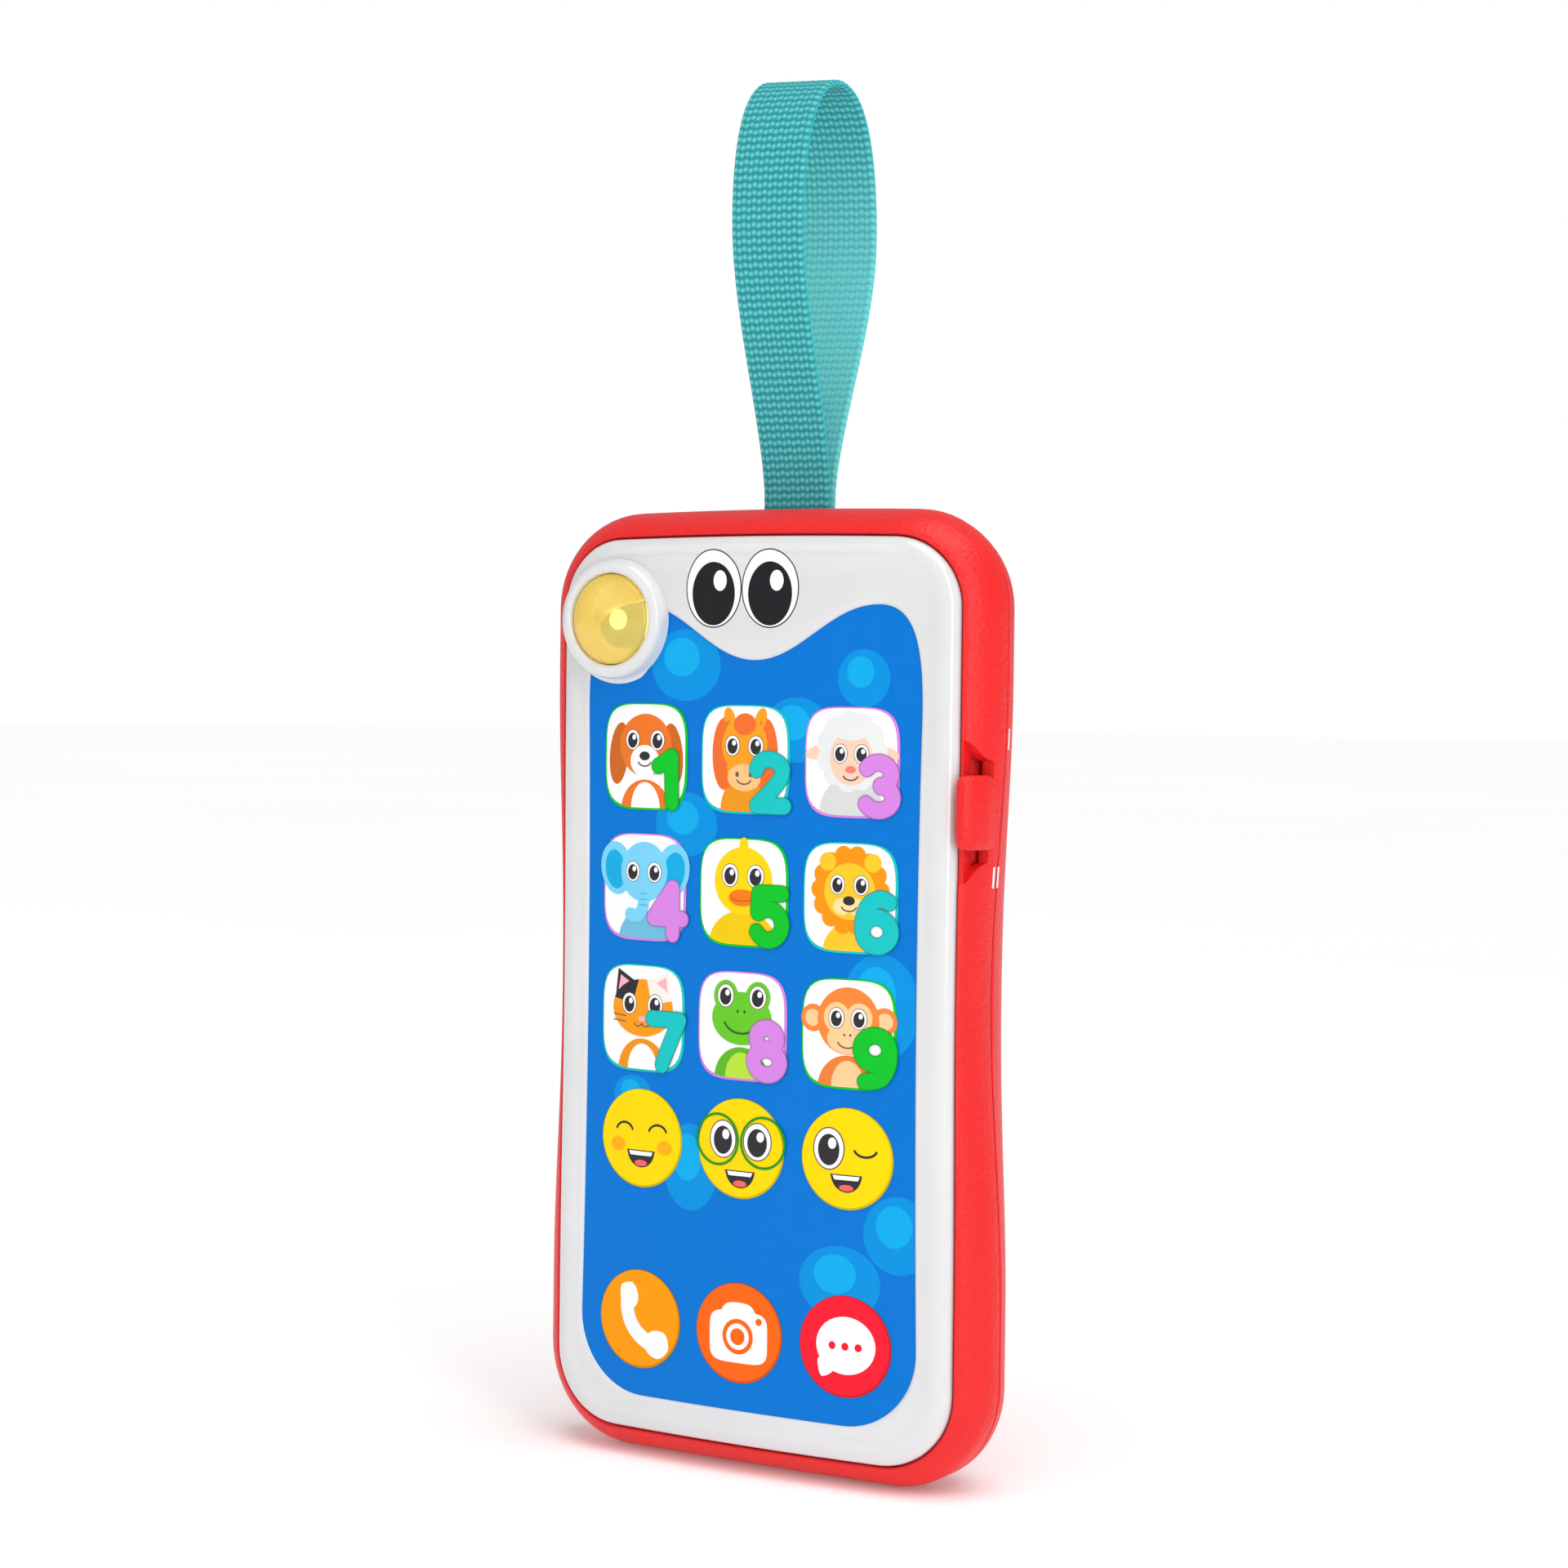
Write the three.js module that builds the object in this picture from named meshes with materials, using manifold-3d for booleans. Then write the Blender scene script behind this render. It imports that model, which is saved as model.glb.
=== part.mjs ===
// Toy cell phone: two red casing halves, a white bezel round a printed screen film, fifteen rubber
// keys, a slide switch, a torch lens, a battery bay and a webbing loop.
// Millimetres. +Z up along the phone, -Y towards its face, +X towards its slide switch.
// The origin is the centre of the flat strip on the bottom edge, in the plane where the halves meet.
import * as THREE from 'three';
import Module from 'manifold-3d';
import { mergeVertices } from 'three/addons/utils/BufferGeometryUtils.js';

const wasm = await Module();
wasm.setup();

// ---------------------------------------------------------------- driving dimensions
const GAP = 0.3; // clearance kept between neighbouring pieces

// body outline, seen from the front
const BODY_HEIGHT = 149;
const BODY_HALF_WIDTH = 40; // at the two bulges
const WAIST_DIP = 2.2; // how far each side draws in at the waist
const INNER_WAIST_DIP = 0.3; // the same, for the bezel and what it frames
const WAIST_Z = 75;
const WAIST_REACH = 48; // from the waist to a bulge
const TOP_CORNER = 15;
const BOTTOM_CORNER = 16;
const TOP_CROWN = 0.8; // how far the top edge falls from its middle to its corners
const FOOT_TRIM = 0.5; // cut off the round bottom edge, which gives the flat strip to stand on

// body section
const PARTING_Y = 0.5; // back edge of the front half
const SIDE_RADIUS = 7.6; // round of the front half
const REAR_INSET = 15; // how far in the round of the rear half ends
const BACK_Y = 12; // flat back
const WALL = 2;
const FACE_RADIUS = 324; // the face is crowned across its width
const CROWN_HALF_WIDTH = 35.3; // where the crown is level with the side round
const FACE_Y = -7.5; // film surface at that half width
const FILM_THICKNESS = 0.4;

// bezel
const BEZEL_INSET = 4.25;
const BEZEL_EDGE_Y = -6.6;
const BEZEL_FRONT_Y = -7.9; // beside the screen
const BEZEL_CREST_Y = -8.1;
const BEZEL_BACK_Y = -5.9;
const LEDGE_INSET = 6.6; // inner edge of the casing's ledge under the bezel
const LEDGE_Y = -5.5;
const SCREEN = { halfWidth: 30.2, bottom: 9.6, corner: 12, lobeTop: 133.9, noseTip: 125.3, noseX: 1.4 };

// keys
const COLUMNS = [-18.6, 0, 18.6];
const TILE_ROWS = [110.1, 89.6, 69];
const FACE_ROW = 50.1;
const CALL_ROW = 21.6;
const TILE = { halfWidth: 7.7, halfHeight: 8.1, corner: 4.5 };
const ROUND_KEY_RADIUS = 7.7;
const KEY_THICKNESS = 1.4;
const KEY_STEM_RADIUS = 2.4;
const KEY_STEM_END_Y = -4.5;

// slide switch
const SWITCH_Z = 103;
const KNOB_HALF_HEIGHT = 5.3;
const MOUTH_HALF_HEIGHT = 10.9; // of the recess at the rim
const THROAT_HALF_HEIGHT = 7.6; // of the recess at its deep end
const THROAT_Y = -2.3;
const RAIL_X = 36.2; // the recess keeps a low rail between here and the bezel

// torch lens
const LENS = { x: -24.2, z: 131.6, radius: 7.1 };
const LENS_RING_RADIUS = 9;
const LENS_RING_Y = -11.8;
const LENS_CREST_Y = -13;

// strap
const STRAP_Y = 6;
const STRAP_HALF_WIDTH = 5.9;
const STRAP_THICKNESS = 1.2;
const STRAP_ROOT_Z = 151.9; // where the loop starts, just over the casing
const STRAP_BULGE_Z = 193.8;
const STRAP_TOP_Z = 215.8;
const STRAP_FRONT_REACH = -12;
const STRAP_BACK_REACH = 13.4;
const STRAP_SLOT = { halfWidth: 6.7, halfDepth: 1.9 };
const STRAP_PIN_Z = 137.5;

// inside
const BOARD = { front: -3.9, back: -2.3, halfWidth: 27, bottom: 14, top: 137 };
const GUIDE_PLATE = { front: -5.6, back: -4.9, halfWidth: 27, bottom: 14, top: 122 };
const CELL = { radius: 5.2, length: 44.5, x: 5.9, y: 4.6, nubRadius: 1.9, nubHeight: 0.9 };
const TRAY = { halfWidth: 15.5, bottom: 27.5, top: 95.5, front: -1.6, back: 9.7 };
const TRAY_WELL = { halfWidth: 11.6, bottom: 34, top: 86, front: -0.9 };
const DOOR = { halfWidth: 13.9, bottom: 29.3, top: 93.7, corner: 3, front: 10.1 };
const DOOR_SCREW_Z = 90;
const SPEAKER = { z: 119, radius: 13, rimFront: 5.5, back: 8.4, magnetRadius: 7, magnetFront: 1 };
const HOUSING_SCREWS = [[-30.5, 20], [30.5, 20], [-30.5, 133], [30.5, 133]];
const BOARD_SCREWS = [[-24.5, 119], [24.5, 119], [-24.5, 36], [24.5, 36]];

// ---------------------------------------------------------------- materials
function plastic(colour, roughness) {
  return new THREE.MeshStandardMaterial({ color: colour, roughness, metalness: 0 });
}

function metal(colour, roughness) {
  return new THREE.MeshStandardMaterial({ color: colour, roughness, metalness: 1 });
}

const RED = plastic(0xe6282d, 0.55);
const WHITE = plastic(0xebebed, 0.2);
const BLUE = plastic(0x0076d6, 0.35);
const AMBER = plastic(0xf0c828, 0.12);
const CREAM = plastic(0xe8e6dc, 0.6);
const RUBBER = plastic(0xd8dade, 0.8);
const BOARD_GREEN = plastic(0x1f6b3a, 0.5);
const BLACK = plastic(0x1c1c1e, 0.5);
const FOAM = plastic(0x2c2c30, 0.95);
const TEAL = plastic(0x3cc3c8, 0.9);
const WIRE_RED = plastic(0xb3201f, 0.5);
const STEEL = metal(0xb9bcc0, 0.35);
const CELL_JACKET = plastic(0x3f8f4d, 0.35);

const group = new THREE.Group();

function place(name, geometry, material) {
  const mesh = new THREE.Mesh(geometry, material);
  mesh.name = name;
  group.add(mesh);
}

// ---------------------------------------------------------------- solids and booleans
function toSolid(geometry) {
  const clean = geometry.clone();
  clean.deleteAttribute('normal');
  clean.deleteAttribute('uv');
  const merged = mergeVertices(clean, 1e-4);
  const mesh = new wasm.Mesh({
    numProp: 3,
    vertProperties: new Float32Array(merged.attributes.position.array),
    triVerts: new Uint32Array(merged.index.array),
  });
  return new wasm.Manifold(mesh);
}

function toGeometry(solid) {
  const mesh = solid.getMesh();
  const geometry = new THREE.BufferGeometry();
  const points = new Float32Array(mesh.vertProperties);
  geometry.setAttribute('position', new THREE.BufferAttribute(points, 3));
  geometry.setIndex(new THREE.BufferAttribute(new Uint32Array(mesh.triVerts), 1));
  return geometry;
}

function join(...geometries) {
  return toGeometry(geometries.map(toSolid).reduce((sum, next) => sum.add(next)));
}

function cut(geometry, ...tools) {
  return toGeometry(tools.map(toSolid).reduce((rest, tool) => rest.subtract(tool), toSolid(geometry)));
}

function common(first, second) {
  return toGeometry(toSolid(first).intersect(toSolid(second)));
}

function box(x0, x1, y0, y1, z0, z1) {
  const geometry = new THREE.BoxGeometry(x1 - x0, y1 - y0, z1 - z0);
  geometry.translate((x0 + x1) / 2, (y0 + y1) / 2, (z0 + z1) / 2);
  return geometry;
}

// A round bar or cone along Y, centred on (x, z).
function barY(x, z, radius, y0, y1, sides = 20, endRadius = radius) {
  const geometry = new THREE.CylinderGeometry(endRadius, radius, y1 - y0, sides);
  geometry.translate(x, (y0 + y1) / 2, z);
  return geometry;
}

// A round bar along X, centred on (y, z).
function barX(y, z, radius, x0, x1, sides = 16) {
  const geometry = new THREE.CylinderGeometry(radius, radius, x1 - x0, sides);
  geometry.rotateZ(Math.PI / 2);
  geometry.translate((x0 + x1) / 2, y, z);
  return geometry;
}

// A shape drawn in X and Z, extruded along Y.
function plateY(shape, y0, y1, curveSegments = 6) {
  const geometry = new THREE.ExtrudeGeometry(shape, { depth: y1 - y0, bevelEnabled: false, curveSegments });
  geometry.rotateX(Math.PI / 2);
  geometry.translate(0, y1, 0);
  return geometry;
}

// A shape drawn in X and Y, extruded along Z.
function plateZ(shape, z0, z1, curveSegments = 6) {
  const geometry = new THREE.ExtrudeGeometry(shape, { depth: z1 - z0, bevelEnabled: false, curveSegments });
  geometry.translate(0, 0, z0);
  return geometry;
}

// A shape drawn in Y and Z, extruded along X.
function plateX(shape, x0, x1, curveSegments = 8) {
  const geometry = new THREE.ExtrudeGeometry(shape, { depth: x1 - x0, bevelEnabled: false, curveSegments });
  geometry.rotateX(Math.PI / 2);
  geometry.rotateZ(Math.PI / 2);
  geometry.translate(x0, 0, 0);
  return geometry;
}

// A turned piece about an axis along Y through (x, z), from [radius, y] pairs.
function turnedY(x, z, profile, sides = 20) {
  const points = profile.map(([radius, y]) => new THREE.Vector2(radius, y));
  const geometry = new THREE.LatheGeometry(points, sides);
  geometry.translate(x, 0, z);
  return geometry;
}

function roundedRectangle(halfWidth, bottom, top, radius) {
  const shape = new THREE.Shape();
  shape.moveTo(-halfWidth + radius, bottom);
  shape.lineTo(halfWidth - radius, bottom);
  shape.absarc(halfWidth - radius, bottom + radius, radius, -Math.PI / 2, 0);
  shape.lineTo(halfWidth, top - radius);
  shape.absarc(halfWidth - radius, top - radius, radius, 0, Math.PI / 2);
  shape.lineTo(-halfWidth + radius, top);
  shape.absarc(-halfWidth + radius, top - radius, radius, Math.PI / 2, Math.PI);
  shape.lineTo(-halfWidth, bottom + radius);
  shape.absarc(-halfWidth + radius, bottom + radius, radius, Math.PI, 1.5 * Math.PI);
  return shape;
}

// ---------------------------------------------------------------- body outline and lofts
const CORNER_STEPS = 5;
const SIDE_STEPS = 6;
const END_STEPS = 6;

function waist(z, inset) {
  const reach = Math.abs(z - WAIST_Z) / WAIST_REACH;
  if (reach >= 1) {
    return 0;
  }
  const share = Math.min(1, inset / BEZEL_INSET);
  const depth = WAIST_DIP + (INNER_WAIST_DIP - WAIST_DIP) * share;
  return depth * (0.5 + 0.5 * Math.cos(Math.PI * reach));
}

// The body's outline moved inwards by an inset, as [x, z] points that run anticlockwise
// seen from the front. Every inset gives the same number of points.
function bodyOutline(inset) {
  const halfWidth = BODY_HALF_WIDTH - inset;
  const bottom = Math.max(0, inset - FOOT_TRIM);
  const top = BODY_HEIGHT - inset;
  const lower = BOTTOM_CORNER - inset;
  const upper = TOP_CORNER - inset;
  const points = [];
  const line = (x0, z0, x1, z1, steps) => {
    for (let i = 1; i < steps; i += 1) {
      points.push([x0 + ((x1 - x0) * i) / steps, z0 + ((z1 - z0) * i) / steps]);
    }
  };
  const corner = (x, z, radius, start) => {
    for (let i = 0; i <= CORNER_STEPS; i += 1) {
      const angle = start + ((Math.PI / 2) * i) / CORNER_STEPS;
      points.push([x + radius * Math.cos(angle), z + radius * Math.sin(angle)]);
    }
  };
  corner(halfWidth - lower, bottom + lower, lower, -Math.PI / 2);
  line(halfWidth, bottom + lower, halfWidth, top - upper, SIDE_STEPS);
  corner(halfWidth - upper, top - upper, upper, 0);
  line(halfWidth - upper, top, -halfWidth + upper, top, END_STEPS);
  corner(-halfWidth + upper, top - upper, upper, Math.PI / 2);
  line(-halfWidth, top - upper, -halfWidth, bottom + lower, SIDE_STEPS);
  corner(-halfWidth + lower, bottom + lower, lower, Math.PI);
  line(-halfWidth + lower, bottom, halfWidth - lower, bottom, END_STEPS);
  return points.map(([x, z]) => {
    const fall = TOP_CROWN * (x / BODY_HALF_WIDTH) ** 2 * (z / BODY_HEIGHT) ** 4;
    return [x - Math.sign(x) * waist(z, inset), z - fall];
  });
}

// How far the crowned face stands in front of its level at the sides.
function crown(x) {
  return (x * x - CROWN_HALF_WIDTH * CROWN_HALF_WIDTH) / (2 * FACE_RADIUS);
}

// One ring of the body: the outline at an inset, at depth y. The crown fades out towards y = 0.
function bodyRing(inset, y) {
  const share = Math.min(1, Math.max(0, y / BEZEL_EDGE_Y));
  return bodyOutline(inset).map(([x, z]) => new THREE.Vector3(x, y + crown(x) * share, z));
}

// Joins rings of equal length into one closed solid. The rings run from the front to the back,
// and either both ends are capped or, with looped set, the last ring meets the first.
function loft(rings, looped = false) {
  const count = rings[0].length;
  const points = rings.flat();
  const index = [];
  const bands = looped ? rings.length : rings.length - 1;
  for (let band = 0; band < bands; band += 1) {
    const here = band * count;
    const there = ((band + 1) % rings.length) * count;
    for (let i = 0; i < count; i += 1) {
      const next = (i + 1) % count;
      index.push(here + i, there + i, here + next, here + next, there + i, there + next);
    }
  }
  if (!looped) {
    const ends = [0, (rings.length - 1) * count];
    ends.forEach((start, end) => {
      const centre = points.length;
      const sum = new THREE.Vector3();
      for (let i = 0; i < count; i += 1) {
        sum.add(points[start + i]);
      }
      points.push(sum.divideScalar(count));
      for (let i = 0; i < count; i += 1) {
        const a = start + i;
        const b = start + ((i + 1) % count);
        index.push(...(end === 0 ? [centre, a, b] : [centre, b, a]));
      }
    });
  }
  const geometry = new THREE.BufferGeometry().setFromPoints(points);
  geometry.setIndex(index);
  return geometry;
}

// Everything between two depths of the crowned face, over the whole height.
function crownSlab(front, back) {
  const steps = 14;
  const reach = BODY_HALF_WIDTH;
  const along = Array.from({ length: steps + 1 }, (_, i) => -reach + (2 * reach * i) / steps);
  const shape = new THREE.Shape();
  along.forEach((x, i) => {
    const y = front + crown(x);
    if (i === 0) {
      shape.moveTo(x, y);
    } else {
      shape.lineTo(x, y);
    }
  });
  [...along].reverse().forEach((x) => shape.lineTo(x, back + crown(x)));
  return plateZ(shape, 0, BODY_HEIGHT);
}

function outlineShape(inset) {
  return new THREE.Shape(bodyOutline(inset).map(([x, z]) => new THREE.Vector2(x, z)));
}

// The screen window: round lower corners, and at the top two lobes with the nose between them.
function screenShape(margin) {
  const side = SCREEN.halfWidth - margin;
  const bottom = SCREEN.bottom + margin;
  const lobe = SCREEN.lobeTop - margin;
  const nose = SCREEN.noseTip - margin;
  const shoulder = 117.3;
  const lobeX = 22.8;
  const shape = new THREE.Shape();
  shape.moveTo(-side + SCREEN.corner, bottom);
  shape.lineTo(side - SCREEN.corner, bottom);
  shape.absarc(side - SCREEN.corner, bottom + SCREEN.corner, SCREEN.corner, -Math.PI / 2, 0);
  shape.bezierCurveTo(side - 0.8, 60, side - 0.8, 90, side - 0.2, shoulder);
  shape.bezierCurveTo(side - 0.1, 128.8, side - 1.9, lobe, lobeX, lobe);
  shape.bezierCurveTo(14.5, lobe, 9.5, nose, SCREEN.noseX, nose);
  shape.bezierCurveTo(-6.7, nose, -11.7, lobe, -20, lobe);
  shape.bezierCurveTo(1.9 - side, lobe, 0.1 - side, 128.8, 0.2 - side, shoulder);
  shape.bezierCurveTo(0.8 - side, 90, 0.8 - side, 60, -side, bottom + SCREEN.corner);
  shape.absarc(-side + SCREEN.corner, bottom + SCREEN.corner, SCREEN.corner, Math.PI, 1.5 * Math.PI);
  return shape;
}

// ---------------------------------------------------------------- casing halves
function sideRound(degrees, radius) {
  const angle = THREE.MathUtils.degToRad(degrees);
  return [SIDE_RADIUS - radius * Math.cos(angle), -radius * Math.sin(angle)];
}

function frontCasingShell() {
  const outside = [0, 20.9, 35, 47, 58].map((angle) => sideRound(angle, SIDE_RADIUS));
  const inside = [46, 24].map((angle) => sideRound(angle, SIDE_RADIUS - WALL));
  const profile = [
    [WALL, PARTING_Y],
    [0, PARTING_Y],
    ...outside,
    [BEZEL_INSET, BEZEL_EDGE_Y],
    [BEZEL_INSET, LEDGE_Y],
    [LEDGE_INSET, LEDGE_Y],
    [LEDGE_INSET, LEDGE_Y + WALL / 2],
    ...inside,
  ];
  return loft(profile.reverse().map(([inset, y]) => bodyRing(inset, y)), true);
}

// The scalloped recess of the slide switch, drawn in Y and Z: wide at the rim and drawn in by
// an S curve towards the side.
function recessShape() {
  const shape = new THREE.Shape();
  const rim = -12;
  shape.moveTo(rim, SWITCH_Z - MOUTH_HALF_HEIGHT);
  shape.lineTo(BEZEL_EDGE_Y, SWITCH_Z - MOUTH_HALF_HEIGHT);
  shape.bezierCurveTo(
    BEZEL_EDGE_Y + 1.6, SWITCH_Z - MOUTH_HALF_HEIGHT + 0.4,
    THROAT_Y - 2.6, SWITCH_Z - THROAT_HALF_HEIGHT - 0.4,
    THROAT_Y, SWITCH_Z - THROAT_HALF_HEIGHT,
  );
  shape.lineTo(THROAT_Y, SWITCH_Z + THROAT_HALF_HEIGHT);
  shape.bezierCurveTo(
    THROAT_Y - 2.6, SWITCH_Z + THROAT_HALF_HEIGHT + 0.4,
    BEZEL_EDGE_Y + 1.6, SWITCH_Z + MOUTH_HALF_HEIGHT - 0.4,
    BEZEL_EDGE_Y, SWITCH_Z + MOUTH_HALF_HEIGHT,
  );
  shape.lineTo(rim, SWITCH_Z + MOUTH_HALF_HEIGHT);
  return shape;
}

// The slot that the slide knob's arm passes through, long enough for its travel.
function knobArmWay() {
  return box(30, 42, -4.3, -2.3, SWITCH_Z - 4.6, SWITCH_Z + 4.6);
}

function makeFrontCasing() {
  const postFront = LEDGE_Y + 0.1;
  const posts = HOUSING_SCREWS.map(([x, z]) => barY(x, z, 3, postFront, PARTING_Y, 12));
  const pilots = HOUSING_SCREWS.map(([x, z]) => barY(x, z, 1.5, -4.6, 1, 8));
  const recess = plateX(recessShape(), RAIL_X, BODY_HALF_WIDTH + 2);
  const railTop = common(
    plateX(recessShape(), RAIL_X - 1.5, RAIL_X + 0.1),
    box(RAIL_X - 2, RAIL_X + 1, -12, -6.2, 80, 130),
  );
  const shell = join(frontCasingShell(), ...posts);
  place('front_casing', cut(shell, ...pilots, recess, railTop, knobArmWay()), RED);
}

function rearRound(degrees, inwards) {
  const angle = THREE.MathUtils.degToRad(degrees);
  const reach = REAR_INSET - inwards;
  const depth = BACK_Y - inwards;
  return [REAR_INSET - reach * Math.cos(angle), depth * Math.sin(angle)];
}

function rearCasingShell() {
  const front = PARTING_Y + GAP;
  const outer = [0, 14.8, 30, 45, 60, 75, 90].map((angle) => rearRound(angle, 0));
  const inner = [24, 48, 69, 90].map((angle) => rearRound(angle, WALL));
  outer[0][1] = front;
  inner.unshift([WALL, front - 1]);
  const outside = loft(outer.map(([inset, y]) => bodyRing(inset, y)));
  const inside = loft(inner.map(([inset, y]) => bodyRing(inset, y)));
  return cut(outside, inside);
}

// Five upright sound slots in the back, inside the circle of the loudspeaker's cone.
function soundSlots() {
  const reach = 9.5;
  return [-2, -1, 0, 1, 2].map((i) => {
    const x = i * 3.6;
    const halfHeight = Math.sqrt(reach * reach - x * x);
    return box(x - 0.8, x + 0.8, 9, 13, SPEAKER.z - halfHeight, SPEAKER.z + halfHeight);
  });
}

function makeRearCasing() {
  const inner = BACK_Y - WALL;
  const posts = HOUSING_SCREWS.map(([x, z]) => barY(x, z, 3.4, PARTING_Y + GAP, inner - 0.8, 12));
  const ribs = [-1, 1].map((side) => {
    const near = side * 7.6;
    const far = side * 9.4;
    return box(Math.min(near, far), Math.max(near, far), 3.4, 8.2, 134.5, 143.2);
  });
  const shell = join(rearCasingShell(), ...posts, ...ribs);
  const screwHoles = HOUSING_SCREWS.map(([x, z]) => barY(x, z, 1.5, -1, 13, 8));
  const headWells = HOUSING_SCREWS.map(([x, z]) => barY(x, z, 2.8, 4.5, 13, 12));
  const doorWay = plateY(
    roundedRectangle(DOOR.halfWidth + GAP, DOOR.bottom - GAP, DOOR.top + GAP, DOOR.corner),
    inner - 1,
    13,
    2,
  );
  const slot = box(
    -STRAP_SLOT.halfWidth, STRAP_SLOT.halfWidth,
    STRAP_Y - STRAP_SLOT.halfDepth, STRAP_Y + STRAP_SLOT.halfDepth,
    140, 152,
  );
  const pinHole = barX(STRAP_Y, STRAP_PIN_Z, 1.5, -11, 11, 8);
  place('rear_casing', cut(shell, ...screwHoles, ...headWells, doorWay, slot, pinHole, ...soundSlots()), RED);
}

// ---------------------------------------------------------------- bezel and screen
function makeBezel() {
  const edge = BEZEL_INSET + GAP;
  const profile = [
    [edge, BEZEL_BACK_Y],
    [edge, BEZEL_EDGE_Y],
    [edge + 0.4, BEZEL_EDGE_Y - 0.8],
    [edge + 1.3, BEZEL_CREST_Y + 0.1],
    [edge + 2.6, BEZEL_CREST_Y],
    [edge + 4.8, BEZEL_FRONT_Y],
    [edge + 4.8, BEZEL_BACK_Y],
  ];
  const rim = loft(profile.reverse().map(([inset, y]) => bodyRing(inset, y)), true);
  const plate = common(plateY(outlineShape(BEZEL_INSET + 4.5), -14, 0), crownSlab(BEZEL_FRONT_Y + 0.05, BEZEL_BACK_Y));
  const boss = turnedY(LENS.x, LENS.z, [
    [0, LENS_RING_Y],
    [LENS_RING_RADIUS - 0.7, LENS_RING_Y],
    [LENS_RING_RADIUS, LENS_RING_Y + 0.8],
    [LENS_RING_RADIUS, -6.6],
    [0, -6.6],
  ], 24);
  const bore = barY(LENS.x, LENS.z, LENS.radius + GAP, -16, 0, 24);
  const screen = plateY(screenShape(0), -16, 0, 7);
  place('bezel', cut(join(cut(join(rim, plate), screen), boss), bore), WHITE);
}

function makeScreenFilm() {
  const sheet = common(plateY(screenShape(GAP), -14, 0, 7), crownSlab(FACE_Y, FACE_Y + FILM_THICKNESS));
  const ringClearance = barY(LENS.x, LENS.z, LENS_RING_RADIUS + GAP, -16, 0, 24);
  place('screen_film', cut(sheet, ringClearance), BLUE);
}

// ---------------------------------------------------------------- torch
function makeTorch() {
  place('torch_lens', turnedY(LENS.x, LENS.z, [
    [0, LENS_CREST_Y],
    [2.6, LENS_CREST_Y + 0.12],
    [4.9, LENS_CREST_Y + 0.55],
    [6.4, LENS_CREST_Y + 1.2],
    [LENS.radius, LENS_CREST_Y + 1.8],
    [LENS.radius, LENS_RING_Y + 1.2],
    [0, LENS_RING_Y + 1.2],
  ]), AMBER);
  place('torch_reflector', turnedY(LENS.x, LENS.z, [
    [6.3, -10.2],
    [6.9, -10.2],
    [6.9, -9.6],
    [3.6, -6.9],
    [2.9, -6.9],
    [2.9, -7.6],
    [6.3, -10.2],
  ]), WHITE);
  place('torch_led', turnedY(LENS.x, LENS.z, [
    [0, -9.2],
    [1.3, -8.8],
    [2, -8],
    [2.4, -6.6],
    [2.4, BOARD.front - GAP],
    [0, BOARD.front - GAP],
  ], 12), CREAM);
}

// ---------------------------------------------------------------- keys and their guide
// A key sits square to the crowned face behind its printed icon. Its stem ends over the board.
function makeKey(name, column, row, shape, curveSegments) {
  const tilt = column / FACE_RADIUS;
  const front = FACE_Y + crown(column) + FILM_THICKNESS + GAP;
  const cap = plateY(shape, 0, KEY_THICKNESS, curveSegments);
  cap.rotateZ(tilt);
  cap.translate(column, front, row);
  const stem = barY(column, row, KEY_STEM_RADIUS, front + KEY_THICKNESS / 2, KEY_STEM_END_Y, 8);
  place(name, join(cap, stem), RUBBER);
}

function makeKeys() {
  TILE_ROWS.forEach((row, line) => {
    COLUMNS.forEach((column, i) => {
      const tile = roundedRectangle(TILE.halfWidth, -TILE.halfHeight, TILE.halfHeight, TILE.corner);
      makeKey(`key_${line * 3 + i + 1}`, column, row, tile, 2);
    });
  });
  const lower = [
    [FACE_ROW, ['key_laugh', 'key_glasses', 'key_wink']],
    [CALL_ROW, ['key_call', 'key_camera', 'key_message']],
  ];
  for (const [row, names] of lower) {
    names.forEach((name, i) => {
      const disc = new THREE.Shape().absarc(0, 0, ROUND_KEY_RADIUS, 0, 2 * Math.PI);
      makeKey(name, COLUMNS[i], row, disc, 8);
    });
  }
}

function makeKeyGuide() {
  const outline = roundedRectangle(GUIDE_PLATE.halfWidth, GUIDE_PLATE.bottom, GUIDE_PLATE.top, 6);
  const plate = plateY(outline, GUIDE_PLATE.front, GUIDE_PLATE.back, 2);
  const feet = BOARD_SCREWS.map(([x, z]) => barY(x, z, 2.4, GUIDE_PLATE.back - 0.2, BOARD.front - GAP, 10));
  const pilots = BOARD_SCREWS.map(([x, z]) => barY(x, z, 1.3, -8, 0, 6));
  const rows = [...TILE_ROWS, FACE_ROW, CALL_ROW];
  const radius = KEY_STEM_RADIUS + 2 * GAP;
  const holes = rows.flatMap((row) => COLUMNS.map((column) => barY(column, row, radius, -8, 0, 8)));
  place('key_guide', cut(join(plate, ...feet), ...pilots, ...holes), CREAM);
}

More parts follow.
